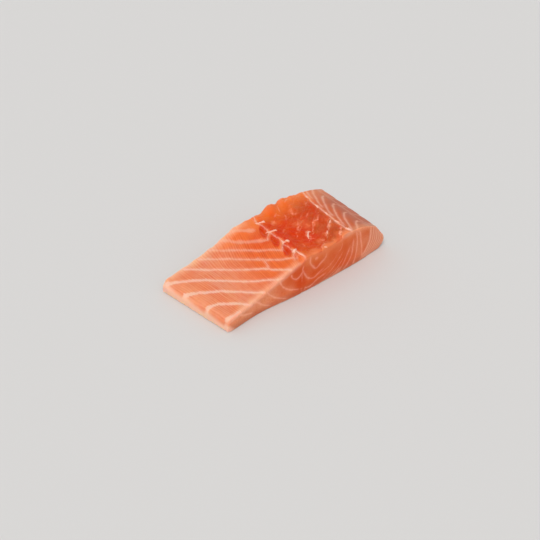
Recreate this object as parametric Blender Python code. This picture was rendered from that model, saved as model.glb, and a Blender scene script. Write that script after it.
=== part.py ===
"""Raw salmon fillet: one portion cut across a side of salmon, lying on its skin side.

X runs round the fish, from the thin belly end at -X, over the line of the pulled pin bones and the
torn middle, to the thick dorsal end at +X.  Y runs along the fish, from the front cut at -Y to the
back cut at +Y.  The flat underside rests on Z = 0, and the origin is the middle of the footprint.

The body starts as a plain block.  Its upper edges are rounded, its sections are set by landmarks
that run from cut to cut, and the torn relief of the upper side is added last.
"""
import math

import bpy
import numpy as np

MM = 0.001

# Driving sizes
CUT_TO_CUT = 57.6 * MM            # straight distance between the two cuts
BELLY_TO_SHOULDER = 135.1 * MM    # mean distance from the belly end to the dorsal shoulder

# Landmarks round the fish, from the belly end to the dorsal shoulder.  Each row gives the distance
# from the belly end on the front cut and on the back cut, then the thickness on each, in mm.
LANDMARKS = {
    "belly end": (0.0, -2.2, 8.2, 6.4),
    "belly margin": (8.0, 8.0, 9.3, 9.1),
    "lower belly": (22.0, 22.0, 11.2, 11.8),
    "middle belly": (40.0, 40.0, 17.5, 16.8),
    "upper belly": (52.0, 55.0, 20.9, 22.7),
    "pin bones": (61.0, 71.0, 23.6, 24.3),
    "torn middle": (82.0, 93.0, 23.8, 27.6),
    "ridge": (102.0, 120.0, 26.3, 27.5),
    "dorsal strip": (114.0, 130.0, 25.1, 25.9),
    "shoulder": (128.5, 139.5, 20.2, 23.4),
}
PLACE = 0                         # column of the distances
THICKNESS = 2                     # column of the thicknesses

# The dorsal side below the shoulder: share of the height, and reach beyond the shoulder
DORSAL_SIDE = ((0.0, 9.4 * MM), (0.12, 12.6 * MM), (0.3, 13.3 * MM), (0.65, 7.3 * MM), (1.0, 0.0))

DORSAL_START = 0.8                # share of the way round where the section starts to swell

# Sway of the knife along the front cut: distance from the belly end, and how far the cut falls
# back there, in mm
FRONT_SWAY = ((0, -0.3), (22, 1.7), (50, -0.3), (80, -1.2), (108, -1.1), (134, 0.4))

# Rounding of the upper edges
CUT_ROUNDING = 1.3 * MM           # along the two cuts
BELLY_ROUNDING = 3.6 * MM         # over the belly end
SHOULDER_ROUNDING = 4.0 * MM      # over the dorsal shoulder
TOP_ROUNDING = 1.4 * MM           # how far down the walls the rounding starts
BELLY_TOP_ROUNDING = 3.2 * MM     # the same, at the belly end
BELLY_MARGIN = 14 * MM            # where the wider rounding of the belly end dies out

# Torn middle: a trough between the pin bones and the ridge, with shingled flakes on its far slope.
# Shares run from the pin bones (0) to the ridge (1), and from the front cut (0) to the back (1).
TROUGH_DEPTH = 2.6 * MM
TROUGH_BANK = (0.0, 0.25)         # steep bank beside the pin bones
TROUGH_SLOPE = (0.45, 1.0)        # long slope up to the ridge
TROUGH_AT_CUTS = 0.3              # share of the depth that is left at the cuts
TROUGH_FRONT_END = (0.0, 0.35)
TROUGH_BACK_END = (0.6, 1.0)
FLAKES_BEGIN = (0.25, 0.5)
FLAKES_END = (0.85, 1.0)
FLAKE_STEP = 0.7 * MM
FLAKE_EDGE = 0.15                 # share of the spacing over which an edge rises
FLAKE_BALANCE = 0.4               # keeps the mean level of the flakes on the slope
FLAKE_SPACING = 8.8 * MM
FLAKE_START = 7.9 * MM
FLAKE_LEAN = math.radians(55.0)   # how far the flakes' edges turn from the cuts

# Leaf-shaped hollows where the pin bones were pulled
LEAF_COUNT = 4
LEAF_FIRST = 3.0 * MM             # from the front cut to the middle of the first hollow
LEAF_SPACING = 12.2 * MM
LEAF_SETBACK = 3.2 * MM           # from the pin-bone line towards the belly
LEAF_LENGTH = 15.0 * MM
LEAF_WIDTH = 6.0 * MM
LEAF_DEPTH = 1.5 * MM
LEAF_LEAN = math.radians(27.0)

# Flesh that stands out at the back cut: place, half width, rise and reach of each lobe
BACK_LOBES = (
    (86.0 * MM, 8.0 * MM, 2.6 * MM, 0.8 * MM),
    (98.5 * MM, 7.0 * MM, 2.4 * MM, 1.0 * MM),
)
SEPTUM_SPACING = 10.3 * MM        # between the ends of the belly's septa along the back cut
SEPTUM_FIRST = 12.6 * MM
SEPTUM_PROUD = 0.5 * MM
SEPTUM_SHARE = 0.3                # half width of a proud end, as a share of the spacing
SEPTA_FADE = (70 * MM, 80 * MM)   # where the proud ends die out beside the pin bones
BACK_BAND = (0.78, 1.0)           # share of the width over which the back cut's forms grow
FOOT_SHARE = 0.4                  # how much of them reaches the underside
RELIEF_POWER = 4                  # how quickly the relief of the top dies out down the walls

# Fineness of the surface
COLUMNS = 66
ROWS = 26
LEVELS = 3
EDGE_STEPS = 2


def smooth_curve(stations, values, place):
    """Smooth curve through the values at the stations."""
    stations = np.asarray(stations, float)
    values = np.asarray(values, float)
    slopes = np.gradient(values, stations)
    left = np.clip(np.searchsorted(stations, place, side="right") - 1, 0, len(stations) - 2)
    step = stations[left + 1] - stations[left]
    share = (place - stations[left]) / step
    rise = values[left + 1] - values[left]
    start = slopes[left] * step - rise
    end = rise - slopes[left + 1] * step
    return values[left] + share * rise + share * (1 - share) * ((1 - share) * start + share * end)


def ease(low, high, value):
    """Smooth change from 0 at low to 1 at high."""
    share = np.clip((value - low) / (high - low), 0.0, 1.0)
    return share * share * (3.0 - 2.0 * share)


def bell(distance, half_width):
    """Rounded bump of height 1 that ends at the half width."""
    return np.clip(1.0 - (distance / half_width) ** 2, 0.0, 1.0) ** 2


def landmark_blend(column, across, along):
    """Value of a landmark column, blended from the front cut to the back cut, in metres."""
    rows = np.array(list(LANDMARKS.values())) * MM
    mean_place = (rows[:, 0] + rows[:, 1]) / 2
    mean_place -= mean_place[0]
    front = smooth_curve(mean_place, rows[:, column], across)
    back = smooth_curve(mean_place, rows[:, column + 1], across)
    return front + (back - front) * along / CUT_TO_CUT


def place_of(name, y):
    """Distance of a landmark from the belly end, at a distance from the front cut."""
    front, back = LANDMARKS[name][PLACE:THICKNESS]
    return (front + (back - front) * y / CUT_TO_CUT) * MM


def top_rounding(across):
    """How far down the walls the rounding starts."""
    belly = 1.0 - ease(0.0, BELLY_MARGIN, across)
    return TOP_ROUNDING + (BELLY_TOP_ROUNDING - TOP_ROUNDING) * belly


def rounded_block(across, along, up, height):
    """Rounds the upper edges and the corners of the block."""
    top_radius = top_rounding(across)
    core_x = np.clip(across, BELLY_ROUNDING, BELLY_TO_SHOULDER - SHOULDER_ROUNDING)
    core_y = np.clip(along, CUT_ROUNDING, CUT_TO_CUT - CUT_ROUNDING)
    core_z = np.minimum(up, height - top_radius)
    radius_x = np.where(across < core_x, BELLY_ROUNDING, SHOULDER_ROUNDING)
    away_x = (across - core_x) / radius_x
    away_y = (along - core_y) / CUT_ROUNDING
    away_z = (up - core_z) / top_radius
    stretch = np.maximum(np.sqrt(away_x ** 2 + away_y ** 2 + away_z ** 2), 1.0)
    x = core_x + radius_x * away_x / stretch
    y = core_y + CUT_ROUNDING * away_y / stretch
    z = core_z + top_radius * away_z / stretch
    return x, y, z


def share_of_trough(x, y):
    """Share of the way from the pin bones to the ridge."""
    pin_bones = place_of("pin bones", y)
    return (x - pin_bones) / (place_of("ridge", y) - pin_bones)


def trough(x, y):
    """Depth of the torn middle."""
    share = share_of_trough(x, y)
    profile = ease(*TROUGH_BANK, share) * (1.0 - ease(*TROUGH_SLOPE, share))
    length_way = y / CUT_TO_CUT
    middle = ease(*TROUGH_FRONT_END, length_way) * (1.0 - ease(*TROUGH_BACK_END, length_way))
    return TROUGH_DEPTH * profile * (TROUGH_AT_CUTS + (1.0 - TROUGH_AT_CUTS) * middle)


def flakes(x, y):
    """Shingled flakes: each edge steps up towards the dorsal side, then the flake sinks again."""
    distance = (x * math.cos(FLAKE_LEAN) - y * math.sin(FLAKE_LEAN) - FLAKE_START) / FLAKE_SPACING
    share = share_of_trough(x, y)
    zone = ease(*FLAKES_BEGIN, share) * (1.0 - ease(*FLAKES_END, share))
    cycle = distance - np.floor(distance)
    edge = ease(0.0, FLAKE_EDGE, cycle)
    return FLAKE_STEP * zone * (edge * (1.0 - cycle) - FLAKE_BALANCE)


def leaf_hollows(x, y):
    """Depth of the hollows left by the pin bones."""
    depth = np.zeros_like(x)
    for index in range(LEAF_COUNT):
        middle_y = LEAF_FIRST + index * LEAF_SPACING
        middle_x = place_of("pin bones", middle_y) - LEAF_SETBACK
        length_way = (x - middle_x) * math.sin(LEAF_LEAN) + (y - middle_y) * math.cos(LEAF_LEAN)
        width_way = (x - middle_x) * math.cos(LEAF_LEAN) - (y - middle_y) * math.sin(LEAF_LEAN)
        reach = np.hypot(length_way / (LEAF_LENGTH / 2), width_way / (LEAF_WIDTH / 2))
        depth = np.maximum(depth, LEAF_DEPTH * bell(reach, 1.0))
    return depth


def back_cut(x, y):
    """How far the back cut stands out, and how far its upper edge rises."""
    near = ease(*BACK_BAND, y / CUT_TO_CUT)
    cycle = (x - SEPTUM_FIRST) / SEPTUM_SPACING
    septa = bell(cycle - np.round(cycle), SEPTUM_SHARE) * (1.0 - ease(*SEPTA_FADE, x))
    proud = SEPTUM_PROUD * septa
    rise = np.zeros_like(x)
    for place, half_width, lobe_rise, lobe_reach in BACK_LOBES:
        lobe = bell(x - place, half_width)
        proud = proud + lobe_reach * lobe
        rise = rise + lobe_rise * lobe
    return near * proud, near * rise


def front_cut(x, y, share_up):
    """How far the front cut falls back; its upper edge follows the sway of the base by half."""
    places, offsets = np.array(FRONT_SWAY).T * MM
    near = 1.0 - ease(0.0, CUT_TO_CUT / 2, y)
    return near * (1.0 - share_up / 2) * smooth_curve(places, offsets, x)


def form(across, along, up, height):
    """Carries points of the plain block to the surface of the fillet."""
    across, along, up = rounded_block(across, along, up, height)
    share_up = up / height
    x = landmark_blend(PLACE, across, along)
    thickness = landmark_blend(THICKNESS, across, along)
    dorsal = ease(DORSAL_START * BELLY_TO_SHOULDER, BELLY_TO_SHOULDER, across)
    side_heights, side_reaches = zip(*DORSAL_SIDE)
    x = x + dorsal * smooth_curve(side_heights, side_reaches, share_up)
    proud, rise = back_cut(x, along)
    relief = flakes(x, along) + rise - trough(x, along) - leaf_hollows(x, along)
    z = thickness * share_up + relief * share_up ** RELIEF_POWER
    y = along + proud * (FOOT_SHARE + (1.0 - FOOT_SHARE) * share_up)
    y = y + front_cut(x, along, share_up)
    return x, y, z


def stations(length, first_rounding, last_rounding, count):
    """Places along one side of the block: even in the middle, turning evenly over the edges."""
    turns = np.tan(np.radians(45.0) * np.arange(EDGE_STEPS, 0, -1) / EDGE_STEPS)
    first = first_rounding * (1.0 - turns)
    last = length - last_rounding * (1.0 - turns[::-1])
    middle = np.linspace(first_rounding, length - last_rounding, count + 1)
    return np.concatenate([first, middle, last])


def wall_levels(height, top_radius):
    """Heights up a wall at each point of the rim, from the underside to the upper edge."""
    turns = np.tan(np.radians(45.0) * np.arange(1, EDGE_STEPS + 1) / EDGE_STEPS)
    even = [(height - top_radius) * level / LEVELS for level in range(LEVELS + 1)]
    return even + [height - top_radius * (1.0 - turn) for turn in turns]


def block_height(across, along):
    """Thickness of the block at points of its upper face."""
    return landmark_blend(THICKNESS, across, along)


def rim_places(last_column, last_row):
    """Grid places round the rim of the upper face, anticlockwise from the front belly corner."""
    rim = [(i, 0) for i in range(last_column)]
    rim += [(last_column, j) for j in range(last_row)]
    rim += [(i, last_row) for i in range(last_column, 0, -1)]
    rim += [(0, j) for j in range(last_row, 0, -1)]
    return rim


def block_points(columns, rows, rim):
    """Points of the block's skin, as place, height and thickness: the top, then the wall rings."""
    across, along = np.meshgrid(columns, rows, indexing="ij")
    height = block_height(across, along)
    points = [np.stack([across, along, height, height], axis=-1).reshape(-1, 4)]
    rim_x = np.array([columns[i] for i, j in rim])
    rim_y = np.array([rows[j] for i, j in rim])
    rim_height = block_height(rim_x, rim_y)
    for level in wall_levels(rim_height, top_rounding(rim_x))[:-1]:
        points.append(np.stack([rim_x, rim_y, level, rim_height], axis=-1))
    return np.concatenate(points)


def block_faces(last_column, last_row, rim):
    """Faces of the block's skin: quads over the top and down the walls, one flat underside."""
    def top(i, j):
        return i * (last_row + 1) + j

    faces = []
    for i in range(last_column):
        for j in range(last_row):
            faces.append((top(i, j), top(i + 1, j), top(i + 1, j + 1), top(i, j + 1)))
    first_wall = top(last_column, last_row) + 1
    size = len(rim)
    bands = LEVELS + EDGE_STEPS
    rings = [[first_wall + band * size + step for step in range(size)] for band in range(bands)]
    rings.append([top(i, j) for i, j in rim])
    for lower, upper in zip(rings, rings[1:]):
        for here in range(size):
            there = (here + 1) % size
            faces.append((lower[here], lower[there], upper[there], upper[here]))
    faces.append(rings[0][::-1])
    return faces


def fillet_mesh():
    """Closed skin of the fillet, with the middle of its footprint at the origin."""
    columns = stations(BELLY_TO_SHOULDER, BELLY_ROUNDING, SHOULDER_ROUNDING, COLUMNS)
    rows = stations(CUT_TO_CUT, CUT_ROUNDING, CUT_ROUNDING, ROWS)
    last_column = len(columns) - 1
    last_row = len(rows) - 1
    rim = rim_places(last_column, last_row)
    surface = np.stack(form(*block_points(columns, rows, rim).T), axis=-1)
    surface[:, :2] -= (surface[:, :2].min(axis=0) + surface[:, :2].max(axis=0)) / 2
    mesh = bpy.data.meshes.new("salmon_fillet")
    mesh.from_pydata(surface.tolist(), [], block_faces(last_column, last_row, rim))
    mesh.shade_smooth()
    mesh.set_sharp_from_angle(angle=math.radians(50.0))
    return mesh


def flesh_material():
    """Moist orange flesh."""
    material = bpy.data.materials.new("salmon_flesh")
    material.use_nodes = True
    shader = material.node_tree.nodes["Principled BSDF"]
    shader.inputs["Base Color"].default_value = (0.83, 0.24, 0.11, 1.0)
    shader.inputs["Roughness"].default_value = 0.38
    shader.inputs["Metallic"].default_value = 0.0
    return material


def main():
    for item in list(bpy.data.objects):
        bpy.data.objects.remove(item, do_unlink=True)
    fillet = bpy.data.objects.new("salmon_fillet", fillet_mesh())
    fillet.data.materials.append(flesh_material())
    bpy.context.collection.objects.link(fillet)


main()
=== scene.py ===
"""Raw salmon fillet portion: the moist flesh with its septa, fat and torn middle, and the stage.

The flesh is a fine skin over the same form as the solid that it stands for: a plain block is
rounded, its sections are set by landmarks that run from cut to cut, and relief is added along its
normals.  Septa and fine threads are lines laid on that form.  Every point of the skin keeps how far
it is from the nearest line, how the fibres run there, how much fat, torn flesh and dorsal flesh it
has and where light and shade are painted on it, and the material turns those into colour, gloss
and bump.

Lengths are in millimetres until a mesh is written.  X runs from the belly end to the dorsal side
and Y from the front cut to the back cut, both from the front belly corner of the block.
"""
import itertools
import math

import bmesh
import bpy
import numpy as np
from bpy.props import FloatProperty, FloatVectorProperty, PointerProperty
from mathutils import Matrix, Vector
from mathutils.bvhtree import BVHTree
from mathutils.kdtree import KDTree


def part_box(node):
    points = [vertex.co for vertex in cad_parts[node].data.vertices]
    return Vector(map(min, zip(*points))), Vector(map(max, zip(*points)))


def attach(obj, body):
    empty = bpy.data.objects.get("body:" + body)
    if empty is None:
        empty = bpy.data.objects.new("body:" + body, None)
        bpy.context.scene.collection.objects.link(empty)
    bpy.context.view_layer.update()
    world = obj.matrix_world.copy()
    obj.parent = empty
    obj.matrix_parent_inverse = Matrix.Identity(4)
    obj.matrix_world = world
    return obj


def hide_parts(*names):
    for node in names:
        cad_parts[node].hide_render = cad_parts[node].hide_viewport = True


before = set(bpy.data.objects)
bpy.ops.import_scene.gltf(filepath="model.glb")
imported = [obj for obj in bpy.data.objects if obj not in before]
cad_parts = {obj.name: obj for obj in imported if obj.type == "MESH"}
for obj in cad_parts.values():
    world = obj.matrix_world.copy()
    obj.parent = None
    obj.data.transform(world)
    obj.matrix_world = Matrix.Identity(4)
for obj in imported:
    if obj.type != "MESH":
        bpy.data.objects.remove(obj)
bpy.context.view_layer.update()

bl_info = {
    "name": "Raw salmon fillet",
    "version": (1, 0, 0),
    "blender": (4, 5, 0),
    "location": "3D View > Sidebar > Salmon",
    "description": "Dresses the packed salmon fillet with flesh, torn shreds and a stage",
    "category": "Object",
}

MM = 0.001
NODE = "salmon_fillet"
BODY = "root"
CAD_LOW, CAD_HIGH = (np.array(corner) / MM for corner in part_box(NODE))
MIDDLE = np.array((75.17, 28.61, 0.0))    # from the front belly corner to the middle of the solid


# ---------------------------------------------------------------------------------------------
# Form of the fillet, as in the solid

CUT_TO_CUT = 57.6
BELLY_TO_SHOULDER = 135.1

# Distance from the belly end on the front and back cut, then the thickness on each
LANDMARKS = {
    "belly end": (0.0, -2.2, 8.2, 6.4),
    "belly margin": (8.0, 8.0, 9.3, 9.1),
    "lower belly": (22.0, 22.0, 11.2, 11.8),
    "middle belly": (40.0, 40.0, 17.5, 16.8),
    "upper belly": (52.0, 55.0, 20.9, 22.7),
    "pin bones": (61.0, 71.0, 23.6, 24.3),
    "torn middle": (82.0, 93.0, 23.8, 27.6),
    "ridge": (102.0, 120.0, 26.3, 27.5),
    "dorsal strip": (114.0, 130.0, 25.1, 25.9),
    "shoulder": (128.5, 139.5, 20.2, 23.4),
}
PLACE = 0
THICKNESS = 2

DORSAL_SIDE = ((0.0, 9.4), (0.12, 12.6), (0.3, 13.3), (0.65, 7.3), (1.0, 0.0))
DORSAL_START = 0.8
FRONT_SWAY = ((0, -0.3), (22, 1.7), (50, -0.3), (80, -1.2), (108, -1.1), (134, 0.4))

CUT_ROUNDING = 1.3
BELLY_ROUNDING = 3.6
SHOULDER_ROUNDING = 4.0
TOP_ROUNDING = 1.4
BELLY_TOP_ROUNDING = 3.2
BELLY_MARGIN = 14.0
FOOT_ROUNDING = 0.5

TROUGH_DEPTH = 2.6
TROUGH_BANK = (0.0, 0.25)
TROUGH_SLOPE = (0.45, 1.0)
TROUGH_AT_CUTS = 0.3
TROUGH_FRONT_END = (0.0, 0.35)
TROUGH_BACK_END = (0.6, 1.0)
FLAKES_BEGIN = (0.25, 0.5)
FLAKES_END = (0.85, 1.0)
FLAKE_STEP = 0.85
FLAKE_EDGE = 0.08
FLAKE_BALANCE = 0.4
FLAKE_LOSS_AT_BACK = 0.7
FLAKE_SEED = 40
FLAKE_SPACING = 8.8
FLAKE_START = 7.9
FLAKE_LEAN = math.radians(55.0)
FLAKE_JAGS = ((3.6, 0.16), (1.5, 0.07))   # size and share of the spacing of the torn edges' jags

# Leaf-shaped hollows of the pulled pin bones; length, width, setback and lean of each, and of the
# red floor that is seen in it
LEAF_COUNT = 4
LEAF_FIRST = 3.0
LEAF_SPACING = 12.2
LEAF_DEPTH = 1.5
LEAF = (15.0, 6.0, 3.2, math.radians(27.0))
LEAF_FLOOR = (20.0, 7.0, 3.5, math.radians(36.0))

BACK_LOBES = ((86.0, 8.0, 2.4, 0.8), (97.5, 6.5, 2.0, 1.0), (106.0, 6.0, 1.1, 0.4))
SEPTUM_SPACING = 10.3
SEPTUM_FIRST = 12.6
SEPTUM_PROUD = 0.5
SEPTUM_SHARE = 0.3
SEPTA_FADE = (70.0, 80.0)
BACK_BAND = (0.78, 1.0)
FOOT_SHARE = 0.4
RELIEF_POWER = 4

WALL_LEVELS = 30
EDGE_STEPS = 4
EDGE_TURNS = np.tan(np.radians(45.0) * np.arange(1, EDGE_STEPS + 1) / EDGE_STEPS)


# ---------------------------------------------------------------------------------------------
# Lines on the flesh, in block coordinates: across the fillet from the belly end, and along it from
# the front cut (or, on a cut, the share of the height)

BELLY_SEPTA = (
    ((0.0, 2.4), (5.0, 0.6), (10.0, 0.0)),
    ((0.0, 17.8), (5.6, 15.9), (12.0, 9.0), (18.6, 0.0)),
    ((0.0, 37.5), (6.6, 30.8), (16.4, 20.2), (29.6, 0.0)),
    ((0.0, 54.7), (11.5, 41.5), (20.9, 29.8), (34.0, 9.5), (41.2, 0.0)),
    ((12.0, 57.6), (23.8, 42.2), (33.9, 26.8), (45.2, 8.7), (51.0, 0.0)),
    ((24.0, 57.6), (35.0, 41.3), (44.3, 24.9), (52.9, 12.1), (61.5, 5.2)),
    ((34.0, 57.6), (43.2, 41.6), (51.6, 26.5), (60.2, 16.2)),
    ((43.4, 57.6), (52.6, 38.6), (59.6, 31.0)),
    ((51.0, 57.6), (55.6, 50.6), (59.4, 46.0)),
)
# Share of the septa's half width, and the strength, of each
BELLY_LOOKS = (
    (1.0, 0.92), (1.0, 0.92), (1.0, 0.9), (1.0, 0.88), (0.95, 0.78), (0.95, 0.58), (1.2, 0.42),
    (2.2, 0.36), (3.2, 0.36),
)
CROSS_LINK = ((45.6, 24.0), (46.4, 19.0), (44.2, 12.6))

PIN_BONE_LINE = (
    (67.4, 57.0), (65.6, 48.9), (66.4, 44.0), (65.9, 36.0), (66.7, 27.0), (65.8, 21.8),
    (66.5, 16.5), (65.1, 10.5), (66.9, 5.0), (66.6, 0.0),
)
# Pale edges of the leaf-shaped hollows, and the pin bones that they start at
LEAF_STARTS = ((65.9, 36.3), (65.8, 21.8), (65.1, 10.5))
LEAF_EDGE = ((0.0, 0.0), (-2.6, -2.2), (-5.0, -4.8), (-7.0, -7.4))

RIDGE_LINE = (
    (110.4, 57.6), (109.6, 48.2), (109.0, 36.1), (109.4, 22.0), (110.2, 11.0), (111.8, 0.0),
)
RIDGE_END = ((111.4, 5.0), (111.9, 1.8), (112.6, 0.0))
# Hairpin septa of the dorsal strip, from their apex: the path, then the share of the septa's half
# width, the strength, the wobble and the shares over which the ends fade
HAIRPIN = (
    (((0.0, 0.0), (-1.6, -0.4), (-5.6, -4.8), (-9.2, -12.2), (-11.8, -19.6), (-12.8, -28.0)),
     0.9, 0.48, 0.25, (0.0, 0.15)),
    (((0.0, 0.0), (1.4, -0.6), (2.9, -4.5), (4.0, -12.0), (4.6, -22.0)),
     0.8, 0.22, 0.25, (0.0, 0.5)),
    (((0.6, -0.2), (3.2, -1.4), (6.4, -3.6), (10.4, -4.6)), 0.8, 0.26, 0.4, (0.4, 0.0)),
)
HAIRPIN_ACROSS = 124.7
HAIRPIN_FIRST = 7.6
HAIRPIN_SPACING = 12.6
HAIRPIN_COUNT = 7

# The septa go on down the dorsal side, as distances from an apex and shares of the height
DORSAL_SEPTUM = ((-4.6, 1.0), (-3.8, 0.86), (-0.4, 0.66), (1.2, 0.5), (0.2, 0.34), (-4.6, 0.02))

# The septa of the underside run in zigzags from the belly end
UNDERSIDE_ZIGZAG = ((0.0, 0.0), (24.0, 9.0), (52.0, -5.0), (84.0, 8.0), (112.0, -4.0), (138.0, 5.0))
UNDERSIDE_SPACING = 11.5
UNDERSIDE_COUNT = 7

# Lines on the front cut, which the back cut repeats
CUT_SEPTA = (
    ((71.2, 1.0), (70.9, 0.81), (74.1, 0.61), (76.1, 0.54), (80.2, 0.62), (84.5, 0.73),
     (85.9, 0.95)),
    ((64.5, 0.88), (63.8, 0.71), (66.6, 0.5), (71.1, 0.33), (74.9, 0.29), (79.1, 0.36),
     (85.3, 0.44)),
    ((50.1, 0.87), (52.3, 0.68), (56.7, 0.56), (60.3, 0.59), (64.9, 0.74)),
    ((40.5, 1.0), (41.1, 0.87), (44.1, 0.58), (47.9, 0.41), (55.1, 0.24), (61.5, 0.15)),
    ((30.6, 1.0), (33.1, 0.68), (36.5, 0.43), (43.7, 0.16), (49.4, 0.03)),
    ((21.5, 1.0), (24.6, 0.73), (27.1, 0.48), (32.6, 0.19), (35.9, 0.08)),
    ((9.4, 0.85), (14.1, 0.56), (17.9, 0.42), (21.7, 0.28)),
    ((65.3, 0.12), (72.6, 0.09), (77.8, 0.18), (86.8, 0.23)),
    ((84.0, 0.0), (95.0, 0.06), (103.1, 0.19)),
    ((91.9, 0.0), (100.0, 0.06), (104.3, 0.17), (108.1, 0.34), (110.4, 0.5), (111.7, 0.67)),
    ((105.0, 0.02), (109.9, 0.14), (112.5, 0.29), (113.5, 0.53), (114.0, 0.72), (113.8, 0.86)),
    ((114.3, 0.0), (115.5, 0.16), (116.3, 0.37), (117.0, 0.66), (116.4, 0.91), (115.3, 1.0)),
    ((119.9, 0.08), (119.6, 0.28), (119.6, 0.6), (119.5, 0.83), (118.4, 1.0)),
    ((120.0, 0.1), (122.1, 0.27), (124.8, 0.47), (127.0, 0.71), (129.6, 0.96)),
)
CUT_CORE = ((74.6, 0.8), (76.4, 0.84), (78.4, 0.82))
# Fine lines nest outside the last septum of the cuts: where they begin and are clear, how far they
# lean over the height, and how close they lie as a share of the fibres' spacing
NEST_BEGIN = (123.2, 125.6)
NEST_LEAN = 11.3
NEST_SCALE = 0.78
CUT_THREADS = (
    ((63.6, 0.84), (62.7, 0.66), (62.6, 0.5), (62.8, 0.3)),
    ((60.8, 0.2), (62.2, 0.13), (62.8, 0.04)),
    ((64.0, 0.17), (62.6, 0.12)),
    ((102.5, 0.9), (102.0, 0.72), (97.6, 0.62)),
    ((96.2, 0.38), (101.7, 0.49), (104.7, 0.64)),
    ((78.6, 0.06), (85.9, 0.15), (93.2, 0.28), (99.5, 0.44), (104.7, 0.63)),
    ((75.5, 0.27), (82.8, 0.35), (90.1, 0.43), (95.4, 0.57), (98.5, 0.73)),
    ((83.9, 0.04), (92.2, 0.12), (98.5, 0.21), (104.7, 0.38), (107.9, 0.57)),
)

# Shreds of torn tissue that stand on the flesh: path, greatest half width and height
SHREDS = (
    # at the pin bones, from the back cut to the front cut
    (((65.0, 48.7), (67.6, 48.3), (69.4, 47.7)), 0.7, 0.5),
    (((68.2, 47.9), (69.4, 47.6), (70.6, 47.3)), 1.1, 0.9),
    (((65.0, 50.4), (65.7, 48.9), (66.2, 47.0)), 0.55, 0.4),
    (((65.2, 36.8), (66.6, 36.0), (68.4, 35.2), (70.4, 34.3)), 0.7, 0.55),
    (((68.4, 35.3), (69.8, 34.6), (71.0, 34.1)), 1.15, 0.9),
    (((64.6, 38.4), (65.8, 36.5), (66.3, 34.4)), 0.6, 0.4),
    (((65.2, 22.4), (66.2, 21.6), (67.4, 21.0)), 0.6, 0.5),
    (((67.4, 21.5), (68.6, 20.6), (69.9, 19.7)), 1.5, 1.1),
    (((66.4, 24.2), (65.9, 22.0), (64.6, 20.4)), 0.5, 0.4),
    (((66.6, 12.2), (65.3, 10.7), (64.2, 8.4)), 0.6, 0.5),
    (((64.0, 11.8), (65.8, 10.2), (66.6, 6.2), (67.4, 1.6)), 0.5, 0.45),
    (((68.0, 11.6), (65.5, 10.6), (63.2, 11.0)), 1.0, 0.6),
    # on the edges of the torn flakes
    (((84.3, 17.0), (86.4, 19.6), (88.8, 21.6), (90.8, 20.8)), 0.6, 0.4),
    (((83.6, 15.4), (85.2, 18.2), (86.6, 19.6)), 0.7, 0.45),
    (((96.0, 10.0), (97.4, 11.6), (98.8, 12.8)), 0.55, 0.35),
    (((103.6, 15.4), (105.6, 17.0), (107.6, 18.2)), 0.45, 0.3),
    # a small pale blob, partly torn tissue and partly a painted glint
    (((84.0, 1.8), (85.0, 1.0), (86.2, 0.9)), 0.5, 0.4),
    # along the ridge, and where it ends at the front cut
    (((109.9, 52.0), (109.5, 50.0), (109.4, 47.6)), 0.55, 0.25),
    (((109.0, 39.0), (109.0, 36.5), (109.1, 33.6)), 0.7, 0.3),
    (((109.2, 28.4), (109.6, 25.6), (109.5, 22.8)), 0.65, 0.3),
    (((109.8, 16.8), (110.1, 14.4), (110.4, 11.6)), 0.6, 0.28),
    (((110.2, 5.6), (111.4, 2.8), (112.4, 0.8)), 1.4, 0.6),
)

# Smears of pale tissue in the torn flesh: path, half width and strength
SMEARS = (
    (((71.0, 40.5), (74.5, 43.5), (78.1, 45.0)), 0.8, 0.35),
    (((78.0, 46.0), (81.5, 48.0), (85.0, 45.5)), 0.5, 0.4),
    (((90.9, 47.0), (92.7, 45.0), (92.3, 42.0), (96.2, 39.0)), 0.6, 0.45),
    (((91.4, 51.5), (95.4, 54.0), (98.3, 57.0)), 0.4, 0.4),
    (((88.1, 54.8), (86.4, 50.8), (85.6, 47.6)), 0.5, 0.65),
    (((83.9, 24.5), (85.3, 28.0), (87.7, 31.0), (88.8, 33.0), (90.8, 35.0)), 0.7, 0.5),
    (((92.5, 22.0), (95.4, 23.0), (96.8, 26.0), (100.1, 25.0), (102.6, 27.0), (104.8, 30.0)),
     0.5, 0.6),
    (((82.4, 15.0), (84.3, 17.0), (86.8, 20.0), (89.4, 22.0), (91.2, 20.5)), 1.0, 0.6),
    (((98.6, 10.6), (101.1, 13.0), (103.7, 15.5), (106.3, 17.5), (109.0, 19.0)), 0.8, 0.6),
    (((94.0, 9.0), (96.6, 11.5), (99.4, 13.2)), 1.0, 0.55),
    (((86.9, 9.0), (89.0, 9.2), (91.4, 8.0)), 0.9, 0.45),
    (((82.0, 2.6), (85.7, 4.5), (88.0, 5.8)), 0.8, 0.5),
    (((100.3, 0.0), (103.8, 4.0), (108.2, 8.0), (109.4, 10.4)), 0.6, 0.9),
    (((76.6, 15.0), (76.1, 12.0), (74.7, 9.0)), 0.35, 0.45),
    (((82.2, 12.0), (84.8, 14.5), (86.5, 11.0)), 0.4, 0.4),
    (((83.0, 40.0), (86.4, 43.0), (87.6, 47.0)), 0.45, 0.4),
    (((102.2, 40.0), (104.4, 42.5), (107.7, 44.0)), 0.4, 0.4),
    (((65.2, 10.2), (63.6, 7.0), (62.2, 3.6)), 0.7, 0.5),
    (((73.0, 30.0), (75.4, 32.4), (79.0, 33.6)), 0.35, 0.35),
    (((95.0, 31.0), (98.4, 34.6), (103.0, 36.4)), 0.4, 0.35),
    (((89.6, 56.4), (92.0, 57.2), (94.4, 56.6)), 0.9, 0.9),
)


# ---------------------------------------------------------------------------------------------
# Curves and noise

NOISE_CELLS = 32


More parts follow.
